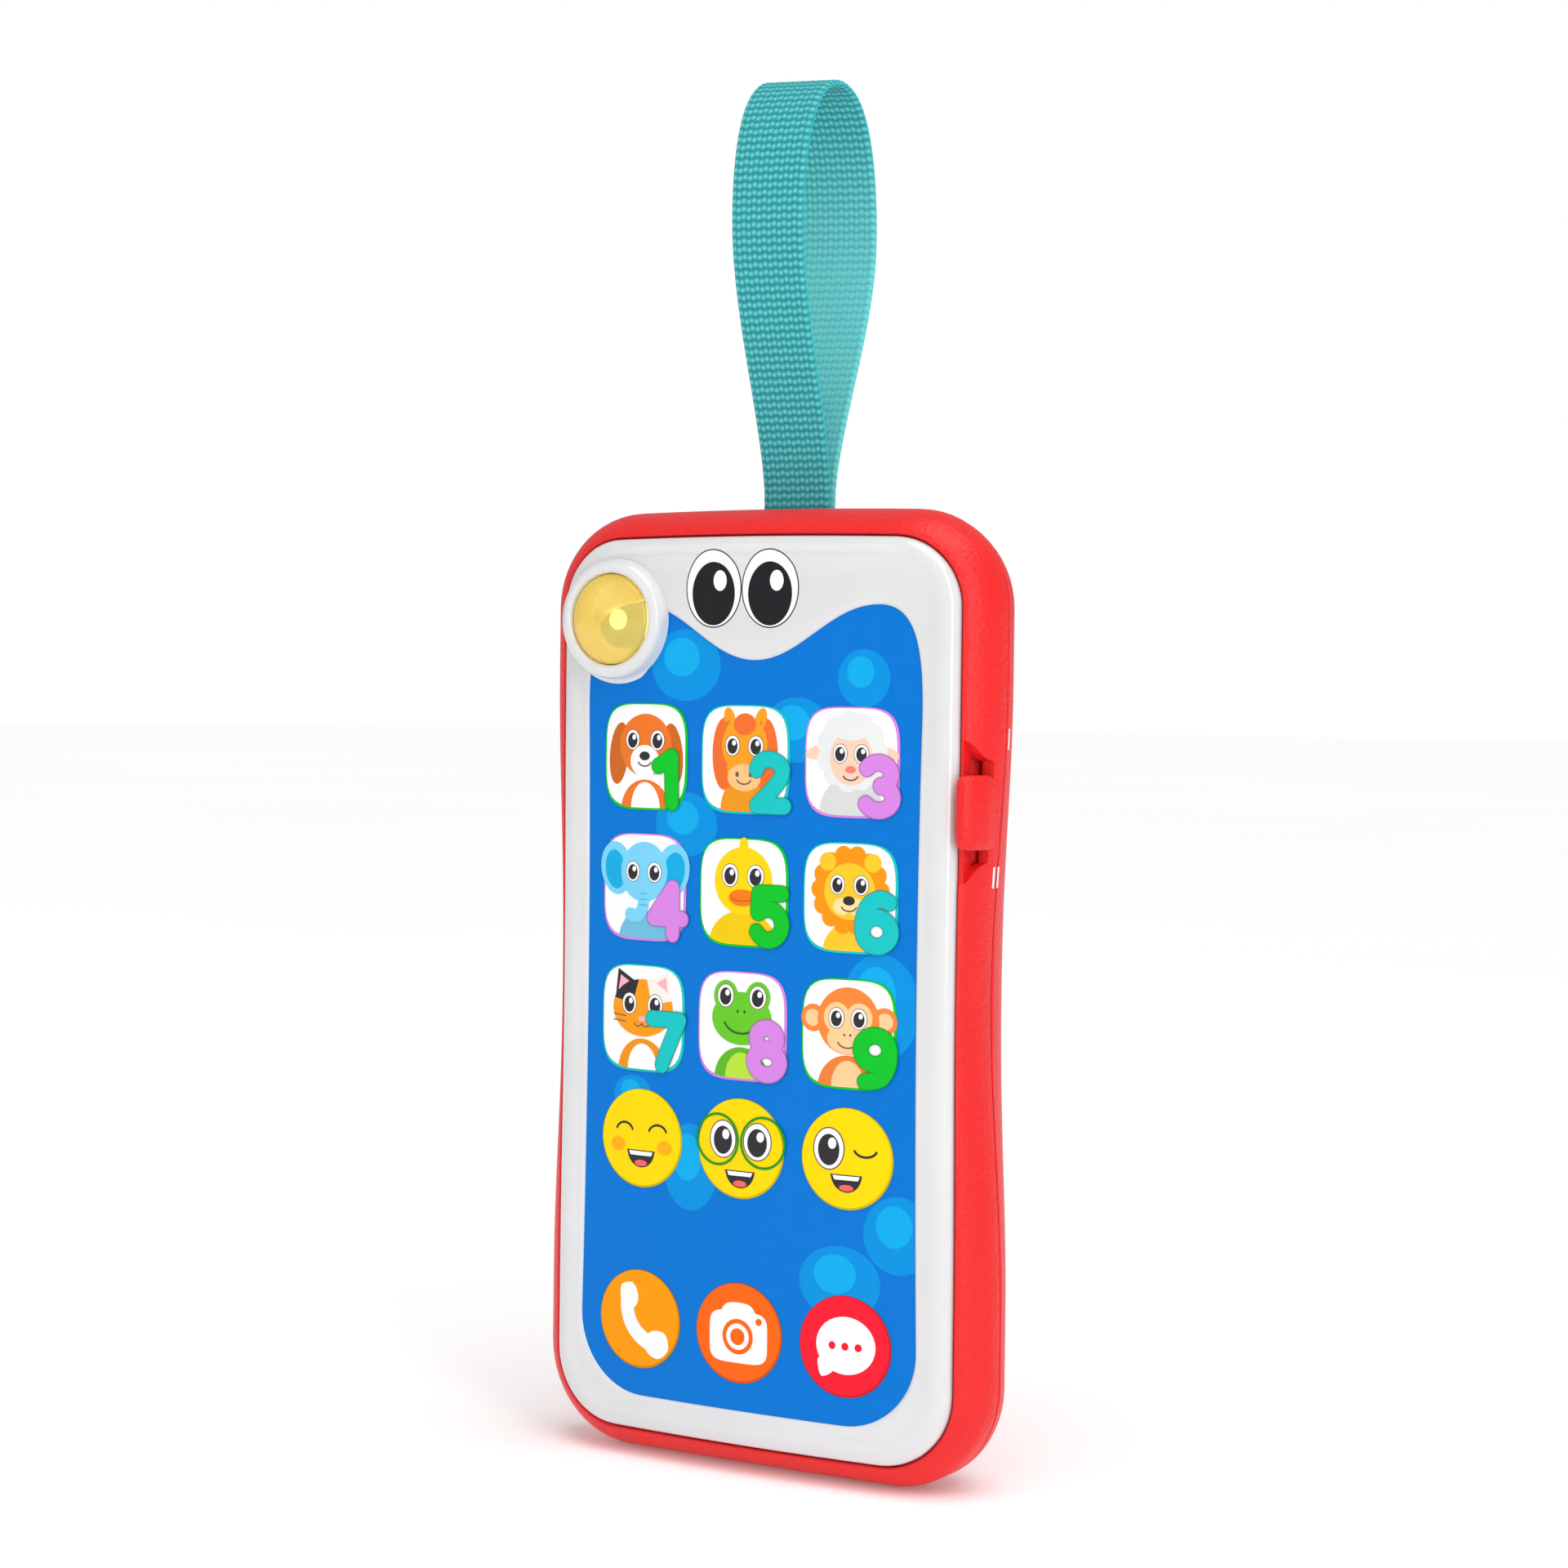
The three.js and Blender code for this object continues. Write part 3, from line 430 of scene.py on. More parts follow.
def superellipse(x, z, rx, rz, power):
    figure = []
    for i in range(64):
        a = 2 * math.pi * i / 64
        c, s = math.cos(a), math.sin(a)
        scale = (abs(c) ** power + abs(s) ** power) ** (-1 / power)
        figure.append((x + rx * c * scale, z + rz * s * scale))
    return figure


def stroke(points, width, ends=14):
    """A line of even width with round ends and joints, as overlapping figures."""
    half = width / 2
    figures = []
    for (x0, z0), (x1, z1) in zip(points, points[1:]):
        along = Vector((x1 - x0, z1 - z0))
        if along.length < 1e-6:
            continue
        side = Vector((-along.y, along.x)).normalized() * half
        figures.append([(x0 - side.x, z0 - side.y), (x1 - side.x, z1 - side.y),
                        (x1 + side.x, z1 + side.y), (x0 + side.x, z0 + side.y)])
    figures += [ellipse(x, z, half, steps=ends) for x, z in points]
    return figures


def moved(figures, x, z):
    return [[(x + u, z + v) for u, v in figure] for figure in figures]


def inside(points, figure):
    """Which of an array of points lie inside a figure."""
    result = np.zeros(len(points), bool)
    f = np.array(figure)
    for (x0, z0), (x1, z1) in zip(f, np.roll(f, -1, axis=0)):
        crosses = (z0 > points[:, 1]) != (z1 > points[:, 1])
        if z0 != z1:
            at = x0 + (points[:, 1] - z0) * (x1 - x0) / (z1 - z0)
            result ^= crosses & (points[:, 0] < at)
    return result


def divided(figure, spacing):
    """The same outline with its long edges split, so that it can follow a curved surface."""
    points = []
    for a, b in zip(figure, figure[1:] + figure[:1]):
        a, b = Vector(a), Vector(b)
        steps = max(1, math.ceil((b - a).length / spacing))
        points += [a.lerp(b, i / steps) for i in range(steps)]
    return points


def fill(figures, holes=(), clip=None, spacing=1.0):
    """Triangles that cover the union of figures less the holes, with a grid of points inside."""
    edges, points = [], []
    for figure in list(figures) + list(holes) + ([clip] if clip else []):
        start = len(points)
        figure = divided(figure, spacing)
        points += figure
        edges += [(start + i, start + (i + 1) % len(figure)) for i in range(len(figure))]
    low = np.min([[p.x, p.y] for p in points], axis=0)
    high = np.max([[p.x, p.y] for p in points], axis=0)
    grid = [Vector((x, z)) for x in np.arange(math.floor(low[0]), high[0], spacing)
            for z in np.arange(math.floor(low[1]), high[1], spacing)]
    spots, _, triangles, *_ = delaunay_2d_cdt(points + grid, edges, [], 0, 1e-4)
    spots = np.array([[p.x, p.y] for p in spots])
    triangles = np.array(triangles)
    centres = spots[triangles].mean(axis=1)
    keep = np.any([inside(centres, figure) for figure in figures], axis=0)
    for hole in holes:
        keep &= ~inside(centres, hole)
    if clip:
        keep &= inside(centres, clip)
    kept = triangles[keep]
    used, renumbered = np.unique(kept, return_inverse=True)
    return spots[used], renumbered.reshape(-1, 3)


def layer(spots, triangles, front, thickness):
    """A closed sheet over triangles: its front follows a function of (x, z)."""
    count = len(spots)
    points = [(x, front(x, z), z) for x, z in spots]
    points += [(x, y + thickness, z) for x, y, z in points]
    faces, border = [], {}
    for a, b, c in triangles.tolist():
        (xa, za), (xb, zb), (xc, zc) = spots[a], spots[b], spots[c]
        if (xb - xa) * (zc - za) - (xc - xa) * (zb - za) < 0:
            b, c = c, b
        faces += [(a, b, c), (a + count, c + count, b + count)]
        for edge in ((a, b), (b, c), (c, a)):
            if edge[::-1] in border:
                del border[edge[::-1]]
            else:
                border[edge] = True
    faces += [(b, a, a + count, b + count) for a, b in border]
    return points, faces


# ---------------------------------------------------------------- body surface
def waist(z, inset):
    """How far the sides draw in at a height: less for outlines further in."""
    reach = abs(z - WAIST_Z) / WAIST_REACH
    if reach >= 1:
        return 0.0
    share = min(1, inset / BEZEL_INSET)
    depth = WAIST_DIP + (INNER_WAIST_DIP - WAIST_DIP) * share
    return depth * (0.5 + 0.5 * math.cos(math.pi * reach))


def top_fall(x, z):
    """The top edge falls from its middle to its corners."""
    return TOP_CROWN * (x / HALF_WIDTH) ** 2 * (z / BODY_HEIGHT) ** 4


def body_outline(inset):
    """The body's outline moved inwards, as (x, z), anticlockwise seen from the front."""
    corner_steps, side_steps, end_steps = 14, 34, 20
    half = HALF_WIDTH - inset
    bottom = max(0, inset - FOOT_TRIM)
    top = BODY_HEIGHT - inset
    lower, upper = BOTTOM_CORNER - inset, TOP_CORNER - inset
    figure = []

    def corner(x, z, radius, start):
        figure.extend(arc(x, z, radius, radius, start, start + 90, corner_steps))

    def side(x0, z0, x1, z1, steps):
        figure.extend((x0 + (x1 - x0) * i / steps, z0 + (z1 - z0) * i / steps) for i in range(1, steps))

    corner(half - lower, bottom + lower, lower, -90)
    side(half, bottom + lower, half, top - upper, side_steps)
    corner(half - upper, top - upper, upper, 0)
    side(half - upper, top, upper - half, top, end_steps)
    corner(upper - half, top - upper, upper, 90)
    side(-half, top - upper, -half, bottom + lower, side_steps)
    corner(lower - half, bottom + lower, lower, 180)
    side(lower - half, bottom, half - lower, bottom, end_steps)
    return [(x - math.copysign(waist(z, inset), x), z - top_fall(x, z)) for x, z in figure]


def crown(x):
    """The face's crown across its width."""
    return (x * x - CROWN_REACH * CROWN_REACH) / (2 * FACE_RADIUS)


def body_ring(inset, y):
    """The outline at a depth, bent to the face's crown as it nears the face."""
    share = min(1, max(0, y / BEZEL_EDGE_Y))
    return [(x, y + crown(x) * share, z) for x, z in body_outline(inset)]


def side_round(degrees, radius):
    """A point of the front half's round, as (inset, y)."""
    a = math.radians(degrees)
    return SIDE_RADIUS - radius * math.cos(a), -radius * math.sin(a)


def rear_round(degrees, inwards):
    """A point of the rear half's round, as (inset, y)."""
    a = math.radians(degrees)
    return REAR_INSET - (REAR_INSET - inwards) * math.cos(a), (BACK_Y - inwards) * math.sin(a)


def recess_outline():
    """The slide switch's scalloped recess, as (y, z)."""
    edge = ((BEZEL_EDGE_Y, MOUTH), (BEZEL_EDGE_Y + 1.6, MOUTH - 0.4), (THROAT_Y - 2.6, THROAT + 0.4),
            (THROAT_Y, THROAT))

    def s_curve(side):
        points = [(y, SWITCH_Z + side * reach) for y, reach in edge]
        return bezier(*points, 16) + points[-1:]

    outline = [(-12, SWITCH_Z - MOUTH)] + s_curve(-1)
    outline += s_curve(1)[::-1] + [(-12, SWITCH_Z + MOUTH)]
    return outline


# ---------------------------------------------------------------- casing
def front_shell():
    profile = [(WALL, PARTING_Y), (0.15, PARTING_Y), (0, PARTING_Y - 0.15), (0, 0)]
    profile += [side_round(a, SIDE_RADIUS) for a in np.linspace(5, 56, 14)]
    profile += [(BEZEL_INSET - 0.35, BEZEL_EDGE_Y + 0.05), (BEZEL_INSET - 0.12, BEZEL_EDGE_Y + 0.12),
                (BEZEL_INSET, BEZEL_EDGE_Y + 0.4), (BEZEL_INSET, LEDGE_Y), (LEDGE_INSET, LEDGE_Y),
                (LEDGE_INSET, LEDGE_Y + WALL / 2)]
    profile += [side_round(a, SIDE_RADIUS - WALL) for a in (46, 35, 24, 12)]
    rings = [body_ring(inset, y) for inset, y in reversed(profile)]
    shell = make_piece("front_shell", *loft(rings, True), [RED], "casing", "casing_red", ["front_casing"])
    recess = recess_outline()
    rail_end = [(y, z) for y, z in recess if y < BEZEL_EDGE_Y + 0.3]
    arm_way = [(y, SWITCH_Z + z) for y, z in ((-4.3, -4.6), (-2.3, -4.6), (-2.3, 4.6), (-4.3, 4.6))]
    carve(shell, [cutter_x(recess, RAIL_X, HALF_WIDTH + 2), cutter_x(rail_end, RAIL_X - 1.5, RAIL_X + 0.05),
                  cutter_x(arm_way, 30, HALF_WIDTH)])
    soften_edges(shell, 0.3)


def slot_outline(x, z, half_width, half_height):
    reach = half_height - half_width
    return (arc(x, z + reach, half_width, half_width, 0, 180, 8)
            + arc(x, z - reach, half_width, half_width, 180, 360, 8))


def box_outline(half_width, bottom, top, radius):
    """A rectangle about x = 0 with round corners."""
    x, low, high = half_width - radius, bottom + radius, top - radius
    corners = ((x, low, -90), (x, high, 0), (-x, high, 90), (-x, low, 180))
    return [p for u, v, start in corners for p in arc(u, v, radius, radius, start, start + 90, 6)]


def rear_face(x):
    """The casing's rear surface at a distance from the middle."""
    inset = min(REAR_INSET, HALF_WIDTH - abs(x))
    return BACK_Y * math.sqrt(1 - (1 - inset / REAR_INSET) ** 2)


def door_opening():
    low, high = node_box("battery_door")
    gap = 0.3
    outline = box_outline(high.x + gap, low.z - gap, high.z + gap, DOOR_CORNER)
    return cutter_y(outline, BACK_Y - 4, BACK_Y + 1)


def grille_slots():
    for x in (-7.2, -3.6, 0, 3.6, 7.2):
        half_height = math.sqrt(GRILLE_RADIUS ** 2 - x * x)
        yield cutter_y(slot_outline(x, SPEAKER_Z, 0.8, half_height), 8, BACK_Y + 1)


def strap_slot():
    right, front, back = SLOT_HALF_WIDTH, STRAP_Y - SLOT_HALF_DEPTH, STRAP_Y + SLOT_HALF_DEPTH
    section = [(-right, front), (right, front), (right, back), (-right, back)]
    return cutter([[(x, y, z) for x, y in section] for z in (152, 140)])


def rear_shell():
    front = PARTING_Y + 0.3
    outer = [(0.15, front), (0, front + 0.15)] + [rear_round(a, 0) for a in np.linspace(8, 90, 16)]
    inner = [(WALL, front - 1), (WALL, front)] + [rear_round(a, WALL) for a in np.linspace(15, 90, 8)]
    rings = [body_ring(inset, y) for inset, y in outer]
    shell = make_piece("rear_shell", *loft(rings), [RED], "casing", "casing_red", ["rear_casing"])
    hollow = cutter([body_ring(i, y) for i, y in inner])
    screws = [node_middle(f"housing_screw_{i}") for i in range(1, 5)]
    screw_holes = [cutter_y(ellipse(screw.x, screw.z, 2.75), 6, BACK_Y + 1) for screw in screws]
    carve(shell, [hollow, door_opening(), *grille_slots(), *screw_holes, strap_slot()])
    soften_edges(shell, 0.25)


def screw_wells():
    """Tubes down to the housing screws, whose ends stay under the casing's rear surface."""
    profile = [(1.5, 4.5), (2.8, 4.5), (2.8, BACK_Y), (3.4, BACK_Y), (3.4, 4.0), (1.5, 4.0)]
    for i in range(1, 5):
        screw = node_middle(f"housing_screw_{i}")
        tube = turned(screw.x, screw.z, profile, 32)
        rings = [[(x, min(y, rear_face(x) - 0.8), z) for x, y, z in ring] for ring in tube]
        make_piece(f"screw_well_{i}", *loft(rings, True), [RED], "casing", "casing_red")


def finger_grips(y):
    """Four grooves across the battery door."""
    for i in range(4):
        groove = cutter_y(slot_outline(0, 0, 0.45, 6), y - 0.35, y + 1)
        place = Matrix.Translation((0, 0, (37 + 2.4 * i) * MM))
        groove.matrix_world = place @ Matrix.Rotation(math.pi / 2, 4, "Y")
        yield groove


def door_panel():
    low, high = node_box("battery_door")
    rings = []
    for inset, y in ((0, low.y), (0, high.y - 0.35), (0.1, high.y - 0.12), (0.35, high.y)):
        outline = box_outline(high.x - inset, low.z + inset, high.z - inset, DOOR_CORNER - inset)
        rings.append([(x, y, z) for x, z in outline])
    panel = make_piece("door_panel", *loft(rings), [RED], "battery_door", "casing_red", ["battery_door"],
                       sharp=20)
    screw_z = node_middle("battery_door_screw").z
    countersink = cutter_y(ellipse(0, screw_z, 2.8), 11, BACK_Y + 1)
    hole = cutter_y(ellipse(0, screw_z, 1.5), 9, BACK_Y + 1)
    carve(panel, [countersink, hole, *finger_grips(high.y)], sharp=20)


# ---------------------------------------------------------------- bezel
def window_outline(margin):
    """The screen window as (x, z), drawn in by a margin, anticlockwise from the bottom left."""
    steps, radius = 22, SCREEN_CORNER
    side, bottom = SCREEN_HALF_WIDTH - margin, SCREEN_BOTTOM + margin
    lobe, nose = LOBE_Z - margin, NOSE_Z - margin
    x, z = side - radius, bottom + radius
    shoulder = (side - 0.2, SHOULDER_Z)
    left_shoulder = (0.2 - side, SHOULDER_Z)
    outline = bezier((-x, bottom), (-6, bottom), (6, bottom), (x, bottom), steps)
    outline += arc(x, z, radius, radius, -90, 0, steps)[:-1]
    outline += bezier((side, z), (side - 0.8, 60), (side - 0.8, 90), shoulder, steps)
    outline += bezier(shoulder, (side - 0.1, 128.8), (side - 1.9, lobe), (22.8, lobe), steps)
    outline += bezier((22.8, lobe), (14.5, lobe), (9.5, nose), (NOSE_X, nose), steps)
    outline += bezier((NOSE_X, nose), (-6.7, nose), (-11.7, lobe), (-20, lobe), steps)
    outline += bezier((-20, lobe), (1.9 - side, lobe), (0.1 - side, 128.8), left_shoulder, steps)
    outline += bezier(left_shoulder, (0.8 - side, 90), (0.8 - side, 60), (-side, z), steps)
    return outline + arc(-x, z, radius, radius, 180, 270, steps)[:-1]


def lengths_along(points):
    """Each point's distance along a line of points."""
    return np.concatenate([[0], np.cumsum(np.linalg.norm(np.diff(points, axis=0), axis=1))])


def even_ring(outline):
    """Points at even steps round an outline, from its lowest point nearest the middle."""
    count = 420
    first = min(range(len(outline)), key=lambda i: (round(outline[i][1], 2), abs(outline[i][0])))
    points = np.array(outline[first:] + outline[:first + 1])
    lengths = lengths_along(points)
    at = np.linspace(0, lengths[-1], count, endpoint=False)
    return np.stack([np.interp(at, lengths, points[:, k]) for k in (0, 1)], axis=1)


RIM_INSET = BEZEL_INSET + 0.25
# the rim's section, as (distance inwards, y)
RIM = [(0, BEZEL_BACK_Y), (0.01, -6.3), (0.06, -6.75), (0.28, -7.2), (0.66, -7.6), (1.15, -7.9),
       (1.8, -8.08), (2.5, BEZEL_CREST_Y), (3.2, -8.1), (3.9, -8.0), (4.5, BEZEL_FRONT_Y)]


def bezel_front(x, z):
    """The bezel's front, which rolls over at the top edge."""
    inwards = BODY_HEIGHT - z - RIM_INSET
    return np.interp(inwards, *zip(*RIM)) + crown(x)


def face_plate():
    """The white bezel: a rolled outer rim, a crowned plate and a rounded edge round the screen."""
    rings = []
    for inwards, y in RIM:
        rings.append([(x, y + crown(x), z) for x, z in even_ring(body_outline(RIM_INSET + inwards))])
    lip = 0.7
    start = even_ring(body_outline(RIM_INSET + RIM[-1][0]))
    end = even_ring(window_outline(-lip))
    for share in (0.25, 0.5, 0.75, 1):
        rings.append([(x, bezel_front(x, z), z) for x, z in start + (end - start) * share])
    for a in (18, 36, 54, 72, 90):
        margin = -lip + lip * math.sin(math.radians(a))
        drop = lip * (1 - math.cos(math.radians(a)))
        rings.append([(x, bezel_front(x, z) + drop, z) for x, z in even_ring(window_outline(margin))])
    rings.append([(x, BEZEL_BACK_Y + crown(x), z) for x, z in even_ring(window_outline(0))])
    make_piece("face_plate", *loft(rings[::-1], True), [WHITE], "casing", "bezel_white", ["bezel"])


def lens_ring():
    """The raised ring round the torch lens, with a soft foot on the bezel."""
    foot = bezel_front(LENS_X, LENS_Z)
    bore = [(0.15, foot + 1.2), (0.15, -11.2), (0.25, -11.5), (0.5, -11.72), (0.85, -11.8), (1.25, -11.72)]
    profile = [(LENS_RADIUS + out, y) for out, y in bore]
    profile += [(8.95, -11.4), (9.25, -10.9), (9.4, -10.2), (9.5, -9.4), (9.7, -8.9), (10.1, foot + 0.1),
                (10.4, foot + 1.2)]
    rings = turned(LENS_X, LENS_Z, profile[::-1], 96)
    make_piece("lens_ring", *loft(rings, True), [WHITE], "casing", "bezel_white")


def torch_dome():
    """The lens: a low dome in front and a smooth, slightly hollowed back."""
    crest, back, radius = LENS_LOW.y, LENS_HIGH.y, LENS_RADIUS
    profile = [(0.02, crest)]
    for a in [math.radians(degrees) for degrees in range(8, 86, 7)]:
        profile.append((radius * math.sin(a), crest + 2.3 * (1 - math.cos(a))))
    profile += [(radius, crest + 2.1), (radius, back), (radius * 0.8, back), (radius * 0.4, back - 0.5),
                (0.02, back - 0.6)]
    rings = turned(LENS_X, LENS_Z, profile, 72)
    make_piece("torch_dome", *loft(rings), [AMBER], "casing", "lens_amber", ["torch_lens"])


# ---------------------------------------------------------------- film and printed keys
COLUMNS = (-18.6, 0.0, 18.6)
ANIMAL_ROWS, FACE_ROW, CALL_ROW = (110.1, 89.6, 69.0), 50.1, 21.6
SQUARE_KEY = (8.0, 8.4, 4.0)  # half width, half height, power of the superellipse
ROUND_KEY = (7.75, 7.75, 2.0)
KEY_LEVEL = 5  # the keys' ink lies over the bubbles
BUBBLES = [  # x, z, half width, half height
    (20.4, 122.8, 4.4, 4.4), (9.0, 114.8, 5.8, 5.0), (-10.8, 99.7, 5.8, 5.0), (23.8, 73.3, 6.5, 8.1),
    (-20.5, 56.8, 3.7, 3.1), (-9.3, 46.4, 5.1, 6.8), (27.2, 39.1, 5.8, 5.9), (17.5, 31.2, 6.9, 5.6),
    (-11.2, 124.5, 6.5, 5.6),
]

BLUE, SKY, PALE_SKY = (0, 118, 210), (2, 146, 222), (12, 172, 234)
WHITE_INK, BLACK_INK, LINE_INK = (250, 250, 250), (52, 50, 54), (120, 90, 84)
GREEN, TEAL, LILAC, YELLOW = (14, 196, 44), (26, 196, 194), (214, 134, 226), (255, 218, 0)
KEY_COLOURS = [GREEN, TEAL, LILAC, LILAC, GREEN, TEAL, TEAL, LILAC, GREEN]


def film_front(x, z):
    return FILM_Y + crown(x)


def tone(colour, factor):
    """A darker or lighter ink."""
    return tuple(round(c) for c in shade(colour, factor))


def pair(*figures):
    """Figures and their mirror images about x = 0."""
    return list(figures) + [[(-x, z) for x, z in figure] for figure in figures]


def ring_of(count, radius_x, radius_z, z, size):
    """Circles set round an ellipse."""
    turns = [2 * math.pi * i / count for i in range(count)]
    return [ellipse(radius_x * math.cos(a), z + radius_z * math.sin(a), size) for a in turns]


class Print:
    """Ink layers that follow the film or a key's low dome, gathered into one piece."""

    def __init__(self, front, dome=None):
        self.front = front
        self.dome = dome
        self.points, self.faces, self.colours, self.materials = [], [], [], []

    def surface(self, level):
        def front(x, z):
            lift = self.dome(x, z) if self.dome else 0.0
            return self.front(x, z) - lift - INK * level
        return front

    def add(self, level, colour, figures, holes=(), clip=None):
        spots, triangles = fill(figures, holes, clip)
        points, faces = layer(spots, triangles, self.surface(level), INK * 0.8)
        start = len(self.points)
        self.points += points
        self.faces += [tuple(start + i for i in face) for face in faces]
        if colour not in self.materials:
            self.materials.append(colour)
        self.colours += [self.materials.index(colour)] * len(faces)

    def piece(self, name, slot="film_blue"):
        materials = [ink(colour) for colour in self.materials]
        piece = make_piece(name, self.points, self.faces, materials, "casing", slot, sharp=30)
        for polygon, colour in zip(piece.data.polygons, self.colours):
            polygon.material_index = colour
        return piece


def film_sheet():
    spots, triangles = fill([window_outline(-0.15)], spacing=2.0)
    points, faces = layer(spots, triangles, film_front, 0.4)
    make_piece("film_sheet", points, faces, [ink(BLUE)], "casing", "film_blue", ["screen_film"])


def film_bubbles():
    sheet = Print(film_front)
    window = window_outline(0.05)
    for i, (x, z, rx, rz) in enumerate(BUBBLES):
        level = 0.5 + i % 2
        sheet.add(level, SKY, [ellipse(x, z, rx, rz, steps=48)], clip=window)
        inner = ellipse(x - rx * 0.12, z + rz * 0.22, rx * 0.52, rz * 0.54)
        sheet.add(level + 0.5, PALE_SKY, [inner], clip=window)
    sheet.piece("film_bubbles")


def key_dome(x0, z0, rx, rz, power):
    """A key print's bulge: nothing at its rim, KEY_DOME over its middle."""
    def dome(x, z):
        s = (abs((x - x0) / rx) ** power + abs((z - z0) / rz) ** power) ** (1 / power)
        return KEY_DOME * (1 - s * s) ** 2 if s < 1 else 0.0
    return dome


def digit_lines(digit):
    """The middle lines of a bold digit, about a centre at (0, 0)."""
    return {
        1: [[(-1.9, 2.1), (-0.8, 2.7), (0.5, 3.6), (0.6, -3.6)]],
        2: [rounded([(-2.3, 2.0), (-1.5, 3.3), (0.3, 3.6), (2.1, 2.5), (1.9, 0.8), (0.3, -1.2)], False)
            + [(-2.3, -3.5), (2.5, -3.5)]],
        3: [arc(0, 1.75, 2.1, 1.85, 150, -75) + arc(0, -1.75, 2.4, 1.9, 80, -150)],
        4: [[(1.0, 3.6), (-2.6, -1.2), (2.7, -1.2)], [(1.0, 3.6), (1.0, -3.6)]],
        5: [[(2.3, 3.6), (-1.6, 3.6), (-1.8, 0.6)] + arc(0, -1.2, 2.4, 2.4, 130, -150)],
        6: [rounded([(2.0, 3.1), (0.6, 3.6), (-1.2, 2.7), (-2.2, 0.6), (-2.35, -1.4)], False),
            arc(0, -1.4, 2.35, 2.2, 0, 360, 28)],
        7: [[(-2.5, 3.6), (2.5, 3.6), (-0.8, -3.6)]],
        8: [arc(0, 1.9, 1.8, 1.65, 0, 360, 24), arc(0, -1.7, 2.3, 1.95, 0, 360, 28)],
        9: [rounded([(2.35, 1.4), (2.2, -0.8), (0.9, -2.9), (-1.7, -3.5)], False),
            arc(0, 1.4, 2.35, 2.2, 0, 360, 28)],
    }[digit]


class Tile:
    """One key's picture, drawn in millimetres about the key's middle."""

    def __init__(self, key, x, z, size, ground):
        self.key, self.x, self.z, self.size, self.ground = key, x, z, size, ground
        self.print = Print(film_front, key_dome(x, z, *size))

    def add(self, level, colour, *figures, holes=(), clip=None):
        self.print.add(KEY_LEVEL + level, colour, moved(figures, self.x, self.z),
                       moved(holes, self.x, self.z), clip)

    def add_inside(self, level, colour, *figures):
        """Figures cut off at the key's edge."""
        rx, rz, power = self.size
        self.add(level, colour, *figures, clip=superellipse(self.x, self.z, rx - 0.35, rz - 0.35, power))

    def line(self, level, colour, points, width):
        self.add(level, colour, *stroke(points, width, 10))

    def eye(self, level, x, z, scale):
        """A plain oval eye with a catchlight."""
        for i, (colour, du, dv, rx, rz) in enumerate((
                (LINE_INK, 0, 0, 1.62, 1.92), (WHITE_INK, 0, 0, 1.5, 1.8), (BLACK_INK, 0, -0.1, 1.1, 1.4),
                (WHITE_INK, 0.35, 0.5, 0.42, 0.5))):
            self.add(level + i, colour, ellipse(x + du * scale, z + dv * scale, rx * scale, rz * scale))

    def eyes(self, level, x, z, scale=0.85):
        self.eye(level, -x, z, scale)
        self.eye(level, x, z, scale)

    def smile(self, level, z, width=1.3):
        self.line(level, LINE_INK, arc(0, z, width, width * 0.7, 200, 340, 10), 0.24)

    def muzzle(self, level, z):
        """A small nose with a smile under it."""
        self.add(level, BLACK_INK, ellipse(0, z, 1.0, 0.7))
        self.smile(level, z - 0.7)

    def laugh(self, level, z):
        """An open mouth with a row of teeth and a tongue."""
        self.add(level, BLACK_INK, [(-2.7, z), (2.7, z)] + arc(0, z, 2.6, 2.7, 0, -180, 16)[1:-1])
        self.add(level + 1, WHITE_INK, [(-2.3, z - 0.15), (2.3, z - 0.15), (2.0, z - 0.8), (-2.0, z - 0.8)])
        self.add(level + 1, (250, 104, 100), ellipse(0, z - 2.0, 1.2, 0.5))

    def finish(self):
        """Makes the print as a piece with a mesh of its own."""
        piece = self.print.piece(f"{self.key}_print")
        anchor = (self.x * MM, film_front(self.x, self.z) * MM, self.z * MM)
        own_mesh(piece)


def draw_dog(t):
    brown, cream = (238, 120, 44), (255, 255, 252)
    t.add_inside(3, brown, ellipse(0, -8.6, 4.8, 5.0))
    t.add_inside(4, cream, ellipse(0, -8.2, 2.8, 4.2))
    t.add_inside(4, tone(brown, 0.87), *pair(ellipse(5.2, 0.4, 1.9, 4.9, 6)))
    t.add(5, brown, ellipse(0, 1.8, 5.0, 4.9))
    t.add(6, cream, ellipse(0, -0.7, 2.8, 2.5))
    t.eyes(7, 2.4, 2.6)
    t.muzzle(8, 0.1)


def draw_horse(t):
    tan, mane, peach = (250, 160, 34), (240, 112, 48), (252, 196, 130)
    t.add_inside(3, tone(tan, 0.95), ellipse(0, -8.0, 4.4, 5.4))
    t.add_inside(4, mane, *pair(ellipse(3.7, 0.8, 2.2, 5.6)))
    t.add(4, tan, *pair(ellipse(2.8, 6.2, 1.0, 1.8, -16)))
    t.add(5, tan, ellipse(0, 2.2, 4.1, 4.4), ellipse(0, -1.2, 3.1, 3.6))
    t.add(6, mane, ellipse(0, 5.4, 2.0, 1.7))
    t.add(6, peach, ellipse(0, -2.8, 3.0, 2.1))
    t.add(7, LINE_INK, *pair(ellipse(1.2, -2.3, 0.32, 0.42)))
    t.eyes(7, 2.1, 2.1)
    t.smile(7, -2.9)


